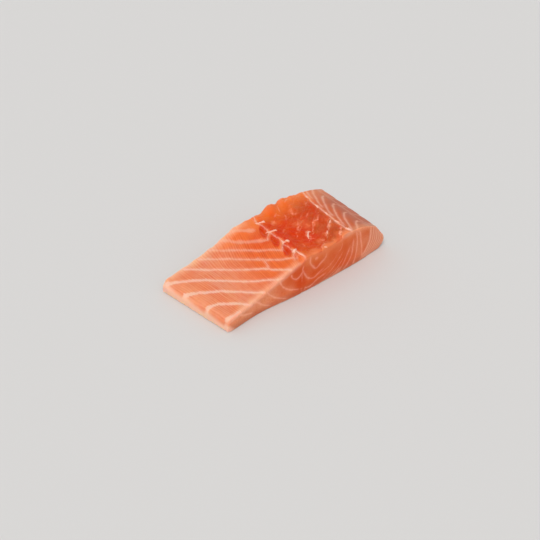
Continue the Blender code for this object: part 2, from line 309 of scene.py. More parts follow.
def smooth_curve(places, values, at):
    """Smooth curve through the values at the places."""
    places = np.asarray(places, float)
    values = np.asarray(values, float)
    slopes = np.gradient(values, places)
    left = np.clip(np.searchsorted(places, at, side="right") - 1, 0, len(places) - 2)
    step = places[left + 1] - places[left]
    share = (at - places[left]) / step
    rise = values[left + 1] - values[left]
    start = slopes[left] * step - rise
    end = rise - slopes[left + 1] * step
    return values[left] + share * rise + share * (1 - share) * ((1 - share) * start + share * end)


def ease(low, high, value):
    """Smooth change from 0 at low to 1 at high."""
    share = np.clip((value - low) / (high - low), 0.0, 1.0)
    return share * share * (3.0 - 2.0 * share)


def fall(low, high, value):
    """Smooth change from 1 at low to 0 at high."""
    return 1.0 - ease(low, high, value)


def bell(distance, half_width):
    """Rounded bump of height 1 that ends at the half width."""
    return np.clip(1.0 - (distance / half_width) ** 2, 0.0, 1.0) ** 2


def band(low, high, soft, value):
    """1 between low and high, falling to 0 over soft on both sides."""
    return ease(low - soft, low + soft, value) * fall(high - soft, high + soft, value)


def most(*shares):
    """The greatest share at each point, kept between 0 and 1."""
    return np.clip(np.maximum.reduce(shares), 0.0, 1.0)


def noise(points, size, seed):
    """Smooth noise from -1 to 1 in space, with lumps of about the size given."""
    heights = np.random.default_rng(seed).uniform(-1.0, 1.0, (NOISE_CELLS,) * 3)
    scaled = np.asarray(points, float) / size
    cell = np.floor(scaled).astype(int)
    share = scaled - cell
    share = share * share * (3.0 - 2.0 * share)
    total = np.zeros(scaled.shape[:-1])
    for corner in itertools.product((0, 1), repeat=3):
        weight = np.prod(np.where(corner, share, 1.0 - share), axis=-1)
        place = np.moveaxis((cell + corner) % NOISE_CELLS, -1, 0)
        total += weight * heights[tuple(place)]
    return total


def smooth_path(points, count, scale=(1.0, 1.0)):
    """Evenly spaced places on a smooth curve through the points, and their shares of its length."""
    points = np.asarray(points, float)
    runs = np.linalg.norm(np.diff(points * scale, axis=0), axis=1)
    runs = np.concatenate([[0.0], np.cumsum(runs)])
    share = np.linspace(0.0, 1.0, count)
    curve = [smooth_curve(runs, column, share * runs[-1]) for column in points.T]
    return np.stack(curve, axis=-1), share


# ---------------------------------------------------------------------------------------------
# Form


def landmark_blend(column, across, along):
    """Value of a landmark column, blended from the front cut to the back cut."""
    rows = np.array(list(LANDMARKS.values()))
    mean_place = (rows[:, 0] + rows[:, 1]) / 2
    mean_place -= mean_place[0]
    front = smooth_curve(mean_place, rows[:, column], across)
    back = smooth_curve(mean_place, rows[:, column + 1], across)
    return front + (back - front) * along / CUT_TO_CUT


def place_of(name, y):
    """Distance of a landmark from the belly end, at a distance from the front cut."""
    front, back = LANDMARKS[name][PLACE:THICKNESS]
    return front + (back - front) * y / CUT_TO_CUT


def top_rounding(across):
    """How far down the walls the rounding starts."""
    belly = fall(0.0, BELLY_MARGIN, across)
    return TOP_ROUNDING + (BELLY_TOP_ROUNDING - TOP_ROUNDING) * belly


def rounded_block(across, along, up, height):
    """Rounds the edges and the corners of the block."""
    top_radius = top_rounding(across)
    core_x = np.clip(across, BELLY_ROUNDING, BELLY_TO_SHOULDER - SHOULDER_ROUNDING)
    core_y = np.clip(along, CUT_ROUNDING, CUT_TO_CUT - CUT_ROUNDING)
    core_z = np.clip(up, FOOT_ROUNDING, height - top_radius)
    radius_x = np.where(across < core_x, BELLY_ROUNDING, SHOULDER_ROUNDING)
    radius_z = np.where(up < core_z, FOOT_ROUNDING, top_radius)
    away_x = (across - core_x) / radius_x
    away_y = (along - core_y) / CUT_ROUNDING
    away_z = (up - core_z) / radius_z
    stretch = np.maximum(np.sqrt(away_x ** 2 + away_y ** 2 + away_z ** 2), 1.0)
    x = core_x + radius_x * away_x / stretch
    y = core_y + CUT_ROUNDING * away_y / stretch
    z = core_z + radius_z * away_z / stretch
    return x, y, z


def share_of_trough(x, y):
    """Share of the way from the pin bones to the ridge."""
    pin_bones = place_of("pin bones", y)
    return (x - pin_bones) / (place_of("ridge", y) - pin_bones)


def trough(x, y):
    """Depth of the torn middle."""
    share = share_of_trough(x, y)
    profile = ease(*TROUGH_BANK, share) * fall(*TROUGH_SLOPE, share)
    length_way = y / CUT_TO_CUT
    middle = ease(*TROUGH_FRONT_END, length_way) * fall(*TROUGH_BACK_END, length_way)
    return TROUGH_DEPTH * profile * (TROUGH_AT_CUTS + (1.0 - TROUGH_AT_CUTS) * middle)


def flake_way(x, y):
    """Way across the flakes, counted in flakes; its whole numbers are their torn edges."""
    distance = (x * math.cos(FLAKE_LEAN) - y * math.sin(FLAKE_LEAN) - FLAKE_START) / FLAKE_SPACING
    flat = np.stack([x, y, np.zeros_like(x)], axis=-1)
    for seed, (size, share) in enumerate(FLAKE_JAGS):
        distance = distance + share * noise(flat, size, FLAKE_SEED + seed)
    return distance


def flakes(x, y):
    """Shingled flakes: each edge steps up towards the dorsal side, then the flake sinks again."""
    distance = flake_way(x, y)
    share = share_of_trough(x, y)
    zone = ease(*FLAKES_BEGIN, share) * fall(*FLAKES_END, share)
    zone = zone * (1.0 - FLAKE_LOSS_AT_BACK * ease(*BACK_BAND, y / CUT_TO_CUT))
    cycle = distance - np.floor(distance)
    edge = ease(0.0, FLAKE_EDGE, cycle)
    return FLAKE_STEP * zone * (edge * (1.0 - cycle) - FLAKE_BALANCE)


def leaf_hollows(x, y, leaf=LEAF):
    """How deep in a hollow of a pulled pin bone a place is, from 0 to 1."""
    leaf_length, leaf_width, setback, lean = leaf
    depth = np.zeros_like(x)
    for index in range(LEAF_COUNT):
        middle_y = LEAF_FIRST + index * LEAF_SPACING
        middle_x = place_of("pin bones", middle_y) - setback
        length_way = (x - middle_x) * math.sin(lean) + (y - middle_y) * math.cos(lean)
        width_way = (x - middle_x) * math.cos(lean) - (y - middle_y) * math.sin(lean)
        reach = np.hypot(length_way / (leaf_length / 2), width_way / (leaf_width / 2))
        depth = np.maximum(depth, bell(reach, 1.0))
    return depth


def back_cut(x, y):
    """How far the back cut stands out, and how far its upper edge rises."""
    near = ease(*BACK_BAND, y / CUT_TO_CUT)
    cycle = (x - SEPTUM_FIRST) / SEPTUM_SPACING
    septa = bell(cycle - np.round(cycle), SEPTUM_SHARE) * fall(*SEPTA_FADE, x)
    proud = SEPTUM_PROUD * septa
    rise = np.zeros_like(x)
    for place, half_width, lobe_rise, lobe_reach in BACK_LOBES:
        lobe = bell(x - place, half_width)
        proud = proud + lobe_reach * lobe
        rise = rise + lobe_rise * lobe
    return near * proud, near * rise


def front_cut(x, y, share_up):
    """How far the front cut falls back; its upper edge follows the sway of the base by half."""
    places, offsets = np.array(FRONT_SWAY).T
    near = fall(0.0, CUT_TO_CUT / 2, y)
    return near * (1.0 - share_up / 2) * smooth_curve(places, offsets, x)


def block_height(across, along):
    """Thickness of the block at points of its upper face."""
    return landmark_blend(THICKNESS, across, along)


def form(across, along, share):
    """Carries points of the plain block, at a share of its height, to the surface of the fillet."""
    height = block_height(across, along)
    across, along, up = rounded_block(across, along, share * height, height)
    share_up = up / height
    x = landmark_blend(PLACE, across, along)
    thickness = landmark_blend(THICKNESS, across, along)
    dorsal = ease(DORSAL_START * BELLY_TO_SHOULDER, BELLY_TO_SHOULDER, across)
    side_heights, side_reaches = zip(*DORSAL_SIDE)
    x = x + dorsal * smooth_curve(side_heights, side_reaches, share_up)
    proud, rise = back_cut(x, along)
    relief = flakes(x, along) + rise - trough(x, along) - LEAF_DEPTH * leaf_hollows(x, along)
    z = thickness * share_up + relief * np.clip(share_up, 0.0, 1.0) ** RELIEF_POWER
    y = along + proud * (FOOT_SHARE + (1.0 - FOOT_SHARE) * share_up)
    y = y + front_cut(x, along, share_up)
    return np.stack([x, y, z], axis=-1)


# ---------------------------------------------------------------------------------------------
# Skin of the block


def stations(length, first_rounding, last_rounding, step):
    """Places along one side of the block: even in the middle, turning evenly over the edges."""
    first = first_rounding * (1.0 - EDGE_TURNS[::-1])
    last = length - last_rounding * (1.0 - EDGE_TURNS)
    count = round((length - first_rounding - last_rounding) / step)
    middle = np.linspace(first_rounding, length - last_rounding, count + 1)
    return np.concatenate([first, middle, last])


def wall_shares(height, top_radius):
    """Shares of the height up a wall, from the underside to the upper edge, at each rim point."""
    foot = [FOOT_ROUNDING * (1.0 - turn) for turn in EDGE_TURNS[::-1]]
    run = height - top_radius - FOOT_ROUNDING
    even = [FOOT_ROUNDING + run * level / WALL_LEVELS for level in range(WALL_LEVELS + 1)]
    top = [height - top_radius * (1.0 - turn) for turn in EDGE_TURNS]
    return [np.broadcast_to(level, np.shape(height)) / height for level in foot + even + top]


class Skin:
    """Points and faces of the block's skin: the top, the wall rings and the underside."""

    def __init__(self, step):
        self.columns = stations(BELLY_TO_SHOULDER, BELLY_ROUNDING, SHOULDER_ROUNDING, step)
        self.rows = stations(CUT_TO_CUT, CUT_ROUNDING, CUT_ROUNDING, step)
        self.last_column = len(self.columns) - 1
        self.last_row = len(self.rows) - 1
        self.face_size = len(self.columns) * len(self.rows)
        self.rim = self.rim_places()
        self.block = self.block_points()
        self.faces = self.block_faces()

    def rim_places(self):
        """Grid places round the rim, anticlockwise from the front belly corner."""
        rim = [(i, 0) for i in range(self.last_column)]
        rim += [(self.last_column, j) for j in range(self.last_row)]
        rim += [(i, self.last_row) for i in range(self.last_column, 0, -1)]
        rim += [(0, j) for j in range(self.last_row, 0, -1)]
        return np.array(rim)

    def block_points(self):
        """Each point as its place across, its place along and its share of the height."""
        grids = np.meshgrid(self.columns, self.rows, indexing="ij")
        across, along = (grid.ravel() for grid in grids)
        top = np.stack([across, along, np.ones_like(across)], axis=-1)
        underside = np.stack([across, along, np.zeros_like(across)], axis=-1)
        rim_x = self.columns[self.rim[:, 0]]
        rim_y = self.rows[self.rim[:, 1]]
        levels = wall_shares(block_height(rim_x, rim_y), top_rounding(rim_x))[1:-1]
        self.wall_rings = len(levels)
        walls = [np.stack([rim_x, rim_y, level], axis=-1) for level in levels]
        return np.concatenate([top, underside] + walls)

    def block_faces(self):
        """Quads over the top, over the underside and down the walls, all facing out."""
        grid = np.arange(self.face_size).reshape(len(self.columns), len(self.rows))
        a, b = grid[:-1, :-1].ravel(), grid[1:, :-1].ravel()
        c, d = grid[1:, 1:].ravel(), grid[:-1, 1:].ravel()
        top = np.stack([a, b, c, d], axis=-1)
        underside = self.face_size + np.stack([d, c, b, a], axis=-1)
        rim = grid[self.rim[:, 0], self.rim[:, 1]]
        first = 2 * self.face_size
        middle = first + np.arange(self.wall_rings * len(rim)).reshape(self.wall_rings, -1)
        rings = np.concatenate([[self.face_size + rim], middle, [rim]])
        here, there = rings, np.roll(rings, -1, axis=1)
        walls = np.stack([here[:-1], there[:-1], there[1:], here[1:]], axis=-1).reshape(-1, 4)
        return np.concatenate([top, underside, walls])


def point_normals(points, faces):
    """Outward normals at the points of a skin of quads."""
    corners = points[faces]
    across = np.cross(corners[:, 2] - corners[:, 0], corners[:, 3] - corners[:, 1])
    normals = np.zeros_like(points)
    for corner in range(4):
        np.add.at(normals, faces[:, corner], across)
    return normals / np.linalg.norm(normals, axis=1, keepdims=True)


# ---------------------------------------------------------------------------------------------
# Lines laid on the form

LINE_POINTS = 420
LINE_SEED = 100
LINE_END = 0.35                   # share of its width that a line keeps where it has faded out
LINE_WOBBLES = ((7.0, 1.0), (2.2, 0.45), (0.9, 0.2))   # size and share of each wobble
LINE_SWELLS = ((4.0, 7), (1.8, 9))                     # size and seed of each swelling
LINE_SWELL = 0.3
THICK_END = (1.0, 32.0)           # where the septa thin out, from the belly end
KNOT = (0.5, 5.0)                 # where they swell into white knots, from the belly end
KNOT_SWELL = 0.35


class Chart:
    """One side of the block: how its places map to the fillet, and the size of its units in mm.

    Its places are (across, along) or, on a wall, (distance, share of the height); the last number
    is which of the two runs along the fillet, where lines end at the cuts.
    """

    def __init__(self, surface, scale=(1.0, 1.0), along_axis=None):
        self.surface, self.scale, self.along_axis = surface, scale, along_axis

    def carry(self, places):
        """Where on the fillet its places are, in mm."""
        first, second = places.T
        return form(*self.surface(first, second))

    def inside(self, places):
        """Which of its places are on the fillet."""
        if self.along_axis is None:
            return (places[:, 1] >= 0.0) & (places[:, 1] <= 1.0)
        along = places[:, self.along_axis]
        return (along >= 0.0) & (along <= CUT_TO_CUT)


WALL_SCALE = (1.0, 24.0)
TOP = Chart(lambda across, along: (across, along, np.ones_like(across)), along_axis=1)
UNDERSIDE = Chart(lambda across, along: (across, along, np.zeros_like(across)), along_axis=1)
FRONT_CUT = Chart(lambda across, share: (across, np.zeros_like(across), share), WALL_SCALE)
BACK_CUT = Chart(lambda across, share: (across, np.full_like(across, CUT_TO_CUT), share),
                 WALL_SCALE)
DORSAL_WALL = Chart(lambda along, share: (np.full_like(along, BELLY_TO_SHOULDER), along, share),
                    WALL_SCALE, along_axis=0)


# The septa of each cut: how far they are shifted from the front cut's, and how far they wander
CUT_SIDES = ((FRONT_CUT, (0.0, 0.0), 0.2), (BACK_CUT, (-2.6, 0.02), 1.0))


class Lines:
    """Set of lines on the form, each with a half width and a strength that may fade at its ends."""

    def __init__(self):
        self.places, self.ways, self.looks = [], [], []

    def lay(self, chart, points, half_width, strength, wobble=0.25, fade=(0.0, 0.0), thicken=0.0):
        """Adds one line.

        Wobble is how far it wanders in mm, fade the shares of its length over which its ends fade,
        and thicken how much wider it gets towards the belly end.
        """
        path, share = smooth_path(points, LINE_POINTS, chart.scale)
        seed = LINE_SEED + len(self.places)
        flat = np.concatenate([path * chart.scale, np.full((len(path), 1), 7.0 * seed)], axis=1)
        for size, part in LINE_WOBBLES:
            shift = [noise(flat, size, seed + 50 * axis) for axis in (0, 1)]
            path = path + wobble * part * np.stack(shift, axis=-1) / chart.scale
        inside = chart.inside(path)
        place = chart.carry(np.clip(path, 0.0, None))
        way = np.gradient(place, axis=0)
        way /= np.maximum(np.linalg.norm(way, axis=1, keepdims=True), 1e-9)
        way[[0, -1]] = 0.0                # so that the line ends round
        ends = np.ones(len(path))
        if fade[0]:
            ends = ends * ease(0.0, fade[0], share)
        if fade[1]:
            ends = ends * fall(1.0 - fade[1], 1.0, share)
        swell = 1.0
        for size, step in LINE_SWELLS:
            swell = swell + LINE_SWELL * noise(flat, size, seed + step)
        knot = fall(*KNOT, place[:, 0])
        swell = swell + thicken * (fall(*THICK_END, place[:, 0]) + KNOT_SWELL * knot)
        clear = np.minimum(strength * ends * (1.0 + thicken * knot), 1.0)
        width = half_width * swell * (LINE_END + (1.0 - LINE_END) * ends)
        self.places.append(place[inside])
        self.ways.append(way[inside])
        self.looks.append(np.stack([width, clear], axis=-1)[inside])

    def nearest(self, points):
        """Offset of each point from the nearest line, and its distance, half width and strength."""
        places = np.concatenate(self.places)
        ways = np.concatenate(self.ways)
        looks = np.concatenate(self.looks)
        tree = KDTree(len(places))
        for index, place in enumerate(places):
            tree.insert(place, index)
        tree.balance()
        found = np.array([tree.find(point)[1] for point in points])
        offset = points - places[found]
        offset -= ways[found] * np.sum(offset * ways[found], axis=1, keepdims=True)
        return offset, np.stack([np.linalg.norm(offset, axis=1), *looks[found].T], axis=-1)


def lay_septa(width):
    """The septa between the muscle blocks on every side."""
    lines = Lines()
    for points, (share, strength) in zip(BELLY_SEPTA, BELLY_LOOKS):
        lines.lay(TOP, points, share * width, strength, wobble=0.42, thicken=0.8)
    lines.lay(TOP, CROSS_LINK, 0.6 * width, 0.45)
    lines.lay(TOP, PIN_BONE_LINE, 0.45 * width, 0.62, wobble=0.8)
    for start in LEAF_STARTS:
        lines.lay(TOP, np.add(LEAF_EDGE, start), 0.55 * width, 0.6, fade=(0.0, 0.3))
    lines.lay(TOP, RIDGE_LINE, 0.85 * width, 0.66, wobble=0.7)
    lines.lay(TOP, RIDGE_END, 1.1 * width, 0.9)
    for index in range(HAIRPIN_COUNT):
        apex = HAIRPIN_FIRST + index * HAIRPIN_SPACING
        for points, share, strength, wobble, fade in HAIRPIN:
            points = np.add(points, (HAIRPIN_ACROSS, apex))
            lines.lay(TOP, points, share * width, strength, wobble, fade)
        lines.lay(DORSAL_WALL, np.add(DORSAL_SEPTUM, (apex, 0.0)), 0.9 * width, 0.45, wobble=0.7)
    for chart, shift, wobble in CUT_SIDES:
        for points in CUT_SEPTA:
            start = points[0][0]
            strength = 0.55 + 0.25 * fall(30.0, 60.0, start) + 0.15 * ease(108.0, 116.0, start)
            lines.lay(chart, np.add(points, shift), 0.75 * width, strength, wobble, (0.08, 0.2))
        lines.lay(chart, np.add(CUT_CORE, shift), 0.9 * width, 0.5, wobble, (0.3, 0.3))
    across = np.linspace(0.0, BELLY_TO_SHOULDER, 12)
    zigzag = smooth_curve(*zip(*UNDERSIDE_ZIGZAG), across)
    for index in range(-1, UNDERSIDE_COUNT):
        points = np.stack([across, index * UNDERSIDE_SPACING + zigzag], axis=-1)
        lines.lay(UNDERSIDE, points, 0.8 * width, 0.55, wobble=0.6)
    return lines


def lay_threads(width):
    """Fine pale threads and smears: in the torn flesh, under the shreds and in the cuts."""
    lines = Lines()
    for path, half_width, strength in SMEARS:
        lines.lay(TOP, path, 1.2 * half_width, 1.3 * strength, wobble=0.6, fade=(0.35, 0.35))
    for path, half_width, _ in SHREDS:
        lines.lay(TOP, path, 1.2 * half_width, 0.8, wobble=0.3, fade=(0.3, 0.3))
    for chart, shift, wobble in CUT_SIDES:
        for points in CUT_THREADS:
            lines.lay(chart, np.add(points, shift), 0.8 * width, 0.4, wobble, (0.3, 0.3))
    return lines


# ---------------------------------------------------------------------------------------------
# What the flesh is like at each point

# Zones across the fillet, from the belly end: low end, high end and softness
LIT_ZONE = (67.0, 112.0, 4.0)
LIT_RIDGE_ZONE = (98.0, 112.0, 4.0)
GLOW_ZONE = (66.0, 114.0, 3.0)
GLOW_BELLY_ZONE = (38.0, 66.0, 6.0)
DULL_RIM_ZONE = (60.0, 104.0, 6.0)
DEEP_CUT_ZONE = (55.0, 70.0, 5.0)
DEEP_CUT_LEVELS = (5.0, 19.0, 3.0)         # and up from the floor
BESIDE_BONES = (25.0, 43.0, 6.0)           # and along it, from the front cut

# Ranges over which a look begins, in shares of the way across the torn middle
TORN_BEGINS = (-0.03, 0.03)
TORN_ENDS = (0.86, 1.02)
TORN_PALES = (0.32, 0.72)
FLAKES_SHOW = (0.2, 0.32)
FLAKES_HIDE = (0.93, 1.0)

# Upper edge of the fat round the belly end, in mm: at the end, its fall and its peaks
MARGIN_HEIGHT = 3.4
MARGIN_SLOPE = 1.1
MARGIN_PEAK = 2.3
FIBRE_LEAN = (0.02, 0.4)                   # at the belly end, and what the upper belly adds

# Thin pale films left on the torn flesh and the belly: across, along and reach
FILMS = (
    (89.0, 32.0, 7.0), (93.0, 45.5, 4.0), (75.0, 43.0, 4.5), (97.0, 24.0, 4.5), (104.0, 15.5, 5.0),
    (57.5, 34.0, 5.5), (58.5, 47.0, 6.0), (88.0, 8.0, 4.5), (92.0, 26.0, 6.0), (107.0, 19.0, 4.0),
    (96.5, 11.5, 3.5),
)

# Relief along the normals, in mm; lumps are their height, size and seed
TORN_LUMPS = ((0.42, 6.5, 31), (0.24, 2.9, 32), (0.1, 1.4, 33))
SKIN_LUMPS = ((0.1, 15.0, 34), (0.035, 2.6, 35))
RIM_LUMPS = ((0.16, 2.2, 36),)
GROOVE_DEPTH = 0.13
GROOVE_WIDTH = 0.75
PILLOW_HEIGHT = 0.12
PILLOW_RISE = (0.6, 4.0)


class Flesh:
    """Fields over the points of the skin, from 0 to 1 unless a unit is given."""

    def __init__(self, skin, points, normals):
        self.across, self.along, self.share = skin.block.T
        self.points = points
        self.x, _, self.z = points.T
        self.top = ease(0.25, 0.65, normals[:, 2])
        self.under = ease(0.4, 0.8, -normals[:, 2])
        self.cut = ease(0.45, 0.8, np.abs(normals[:, 1]))
        self.dorsal_side = ease(0.3, 0.7, normals[:, 0]) * (1.0 - self.top)
        sinking = fall(0.38, 1.1, self.share + self.lumps((0.12, 9.0, 44)))
        self.dorsal_slope = sinking * ease(0.2, 0.4, normals[:, 0]) * self.top
        self.way = share_of_trough(self.x, self.along)
        self.down = block_height(self.across, self.along) * (1.0 - self.share)    # mm
        self.to_cut = np.minimum(self.along, CUT_TO_CUT - self.along)             # mm

    def lumps(self, *layers):
        """Lumps in layers, each given as its height, size and seed."""
        return sum(height * noise(self.points, size, seed) for height, size, seed in layers)

    def leaves(self):
        """The red hollows beside the pin bones, with their flat floors."""
        floor = leaf_hollows(self.x, self.along, LEAF_FLOOR) + self.lumps((0.06, 1.5, 9))
        return ease(0.02, 0.34, floor) * fall(-0.02, 0.02, self.way) * self.top

    def torn(self):
        """The torn middle, ragged towards the ridge and fading at the cuts."""
        ragged = self.way + self.lumps((0.03, 4.0, 11), (0.02, 1.6, 12))
        zone = ease(*TORN_BEGINS, ragged) * fall(*TORN_ENDS, ragged)
        leaves = 0.9 * self.leaves() * ease(3.0, 9.0, self.along)
        return np.maximum(zone, leaves) * self.top

    def redness(self):
        """How deep a red the flesh is: in the torn middle, and in, beside and under the hollows."""
        length_way = self.along / CUT_TO_CUT + self.lumps((0.05, 6.0, 10))
        back_way = length_way - 0.12 * ease(0.6, 0.9, self.way)
        middle = ease(0.05, 0.25, length_way) * (1.0 - 0.9 * ease(0.62, 0.85, back_way))
        deep = 0.9 - 0.6 * ease(*TORN_PALES, self.way)
        torn = self.torn() * middle * (deep + self.lumps((0.25, 9.0, 13), (0.12, 3.5, 14)))
        leaves = 0.62 * ease(3.0, 10.0, self.along) + 0.25 * ease(26.0, 40.0, self.along)
        to_bones = place_of("pin bones", self.along) - self.x + self.lumps((2.0, 8.0, 42))
        beside = 0.42 * fall(9.0, 25.0, to_bones) * band(*BESIDE_BONES, self.along) * self.top
        return most(torn, self.leaves() * leaves, beside, 0.3 * self.deep_cut())

    def deep_cut(self):
        """Redder flesh of the cuts, under the pin bones."""
        ragged = self.lumps((2.0, 5.0, 37))
        level = band(*DEEP_CUT_LEVELS, self.z + ragged)
        return band(*DEEP_CUT_ZONE, self.across + ragged) * level * self.cut

    def dorsal(self):
        """How dull the flesh is, from the ridge to the dorsal side; part of it is painted shade."""
        place = self.across + self.lumps((1.5, 5.0, 15))
        strip = 0.35 * ease(108.0, 113.0, place) + 0.65 * ease(112.0, 128.0, place)
        strip = strip * (1.0 - 0.45 * ease(34.0, 54.0, self.along))
        strip = strip * (0.8 + 0.2 * ease(1.0, 6.0, self.along)) * (1.0 - 0.25 * self.dorsal_slope)
        on_cut = 0.1 * ease(112.0, 130.0, self.across)
        return np.maximum(strip * ease(1.0, 0.6, self.cut), on_cut * self.cut)

    def pale_cut(self):
        """How pale the flesh of the cuts is: most at the belly end and by the dorsal side."""
        belly = fall(16.0, 66.0, self.x)
        dorsal = 0.1 * ease(70.0, 88.0, self.across) + 0.3 * ease(104.0, 118.0, self.across)
        upper = fall(0.5, 6.0, self.down) * ease(106.0, 114.0, self.across)
        dorsal = dorsal + 0.6 * ease(*NEST_BEGIN, self.nest()) + 0.5 * upper
        return np.clip(belly + dorsal + self.lumps((0.25, 7.0, 24)), 0.0, 1.0)

    def fat_margin(self):
        """Pale fat round the belly end, with a scalloped edge that peaks at each septum."""
        ends = [points[0][1] for points in BELLY_SEPTA if points[0][0] == 0.0]
        gaps = np.interp(self.along, ends, np.arange(len(ends)))
        cycle = gaps - np.floor(gaps)
        peak = bell(np.minimum(cycle, 1 - cycle), 0.12)
        edge = MARGIN_HEIGHT + MARGIN_PEAK * cycle ** 1.6 + MARGIN_PEAK * peak
        edge = edge + self.lumps((0.35, 2.5, 16)) - MARGIN_SLOPE * self.x
        return fall(-2.4, 1.7, self.z - edge)

    def fat(self):
        """The pale fat: belly margin, foot of the cuts, dorsal side and underside."""
        height = 0.7 + 1.0 * ease(56.0, 70.0, self.x) + 1.6 * ease(112.0, 136.0, self.x)
        height = height * (1.0 + self.lumps((0.35, 5.0, 17)))
        foot = fall(0.2 * height, 0.9 * height, self.z) * self.cut
        side = (self.dorsal_side + 0.62 * self.dorsal_slope) * (0.8 + self.lumps((0.2, 6.0, 18)))
        corner = 0.6 * ease(129.5, 134.5, self.across) * fall(0.5, 0.9, self.share)
        corner = np.maximum(corner, 0.45 * ease(*NEST_BEGIN, self.nest())) * self.cut
        under = self.under * (0.55 + self.lumps((0.25, 9.0, 19)))
        hem = fall(0.3, 0.9, self.z) * ease(-0.3, 0.4, self.lumps((1.0, 6.0, 39))) * self.cut
        return most(0.9 * self.fat_margin(), 0.25 * foot, 0.6 * hem, corner, side, under)

    def flakes(self):
        """Way across the flakes, mm along them, and how clearly their torn edges show."""
        streak = self.x * math.sin(FLAKE_LEAN) + self.along * math.cos(FLAKE_LEAN)
        clear = ease(*FLAKES_SHOW, self.way) * fall(*FLAKES_HIDE, self.way) * self.top
        clear = clear * (1.0 - 0.75 * ease(24.0, 34.0, self.along))
        return flake_way(self.x, self.along), streak, clear

    def lit_edge(self):
        """Painted light: lighter orange on both sides of the torn middle's edge at the cuts."""
        ragged = self.lumps((1.6, 5.0, 27), (1.2, 2.4, 28), (0.4, 1.1, 29))
        reach = 6.0 + 2.4 * np.maximum(0.5 * band(*LIT_RIDGE_ZONE, self.across), self.cut)
        lit = fall(0.8, reach, np.hypot(self.to_cut, self.down) + ragged) * (1.0 - 0.35 * self.cut)
        return lit * band(*LIT_ZONE, self.across)

    def rim(self):
        """Pale line along the upper edges of the cuts, and the paler flesh beside it."""
        # The pale line is partly pale tissue and partly a painted highlight along the edges.
        reach = 1.6 + 1.6 * fall(40.0, 60.0, self.across)
        near = fall(0.2, 1.0, (self.to_cut + self.lumps((0.35, 2.0, 20))) / reach)
        near = near * np.where(self.share < 1.0, 1.5 * ease(3.8, 0.2, self.down), 1.0)
        near = near * (0.72 + self.lumps((0.5, 14.0, 41)))
        patch = ease(20.0, 40.0, self.along) * ease(0.0, 0.5, self.lumps((1.0, 4.0, 38)))
        clear = 1.0 - (0.8 - 0.5 * patch) * band(*DULL_RIM_ZONE, self.across)
        clear = clear * (1.0 - 0.6 * ease(108.0, 116.0, self.across))
        return np.clip(near, 0.0, 1.0) * (1.0 - self.under) * clear

    def peach(self):
        """Paler, yellower flesh: by the edges of the belly and at both ends of the dorsal strip."""
        ends = (0.34 * fall(1.0, 12.0, self.x), 0.5 * fall(1.0, 6.0, self.along),
                0.9 * ease(49.0, 57.5, self.along))
        belly = most(*ends) * fall(56.0, 66.0, self.across)
        strip = most(0.22 * ease(34.0, 54.0, self.along), 0.3 * fall(0.0, 6.0, self.along))
        return most(belly, strip * ease(110.0, 116.0, self.across)) * self.top

    def films(self):
        """Thin pale films in ragged patches."""
        ragged = self.lumps((1.6, 3.0, 25))
        away = [(np.hypot(self.across - across, self.along - along) + ragged) / reach
                for across, along, reach in FILMS]
        return fall(0.0, 1.0, np.minimum.reduce(away)) * self.top

    def glow(self):
        """Brighter orange at the back of the torn middle, where light shines through thin flesh."""
        zone = most(band(*GLOW_ZONE, self.across), 0.35 * band(*GLOW_BELLY_ZONE, self.across))
        return zone * ease(38.0, 54.0, self.along + self.lumps((3.0, 8.0, 21))) * self.top

    def nest(self):
        """Way across the fine lines at the dorsal end of the cuts."""
        return self.across - NEST_LEAN * (self.share - 0.5)

    def fibres(self):
        """Way across the fibres and along them in mm, and how clearly they show."""
        lean = FIBRE_LEAN[0] + FIBRE_LEAN[1] * ease(12.0, 56.0, self.x)
        wander = self.lumps((0.9, 16.0, 22), (0.25, 5.0, 23))
        across = self.x - lean * (self.along - CUT_TO_CUT / 2) + wander
        belly = fall(55.0, 67.0, self.x + 0.12 * (CUT_TO_CUT / 2 - self.along))
        clear = belly * self.top + 0.12 * (1.0 - self.top) + 0.16 * self.torn()
        inside = self.cut * ease(*NEST_BEGIN, self.nest())
        across = across + (NEST_SCALE * self.nest() + 0.3 * wander - across) * inside
        clear = (clear + 0.7 * inside) * (1.0 - self.fat_margin())
        return across, self.along + 0.4 * self.z, clear

    def fields(self):
        """What the material reads: three numbers for each point under each name."""
        return {
            "fibres": self.fibres(),
            "regions": (self.redness(), self.dorsal(), self.fat()),
            "tints": (self.peach(), self.glow(), self.rim()),
            "sides": (self.cut, self.torn(), self.pale_cut()),
            "flakes": self.flakes(),
            "tatters": (self.films(), np.clip(self.way, 0.0, 1.0), self.lit_edge()),
        }

    def relief(self, septum, strength):
        """Fine relief along the normals, in mm: grooves at the septa, lumps in the torn flesh."""
        torn = self.torn() * (1.0 - leaf_hollows(self.x, self.along))
        groove = -GROOVE_DEPTH * strength * np.exp(-(septum / GROOVE_WIDTH) ** 2)
        level = (groove + PILLOW_HEIGHT * ease(*PILLOW_RISE, septum)) * (1.0 - torn)
        level = level + self.lumps(*TORN_LUMPS) * torn + self.lumps(*SKIN_LUMPS)
        level = level + self.rim() * self.lumps(*RIM_LUMPS)
        return level * (1.0 - 0.85 * self.under)


def fit_to_frame(points):
    """Sets the skin in the solid's place, on the floor, and keeps it inside the solid's box."""
    placed = points - MIDDLE
    placed[:, 2] -= placed[:, 2].min()
    high = placed.max(axis=0) / CAD_HIGH
    low = placed.min(axis=0)[:2] / CAD_LOW[:2]
    scale = 1.0 / np.maximum(high, (*low, high[2]))
    return placed * np.minimum(scale, 1.0)


def smooth_mesh(name, points, faces):
    """Smooth mesh, from points in mm."""
    mesh = bpy.data.meshes.new(name)
    mesh.from_pydata((points * MM).tolist(), [], faces)
    mesh.validate()
    mesh.shade_smooth()
    return mesh


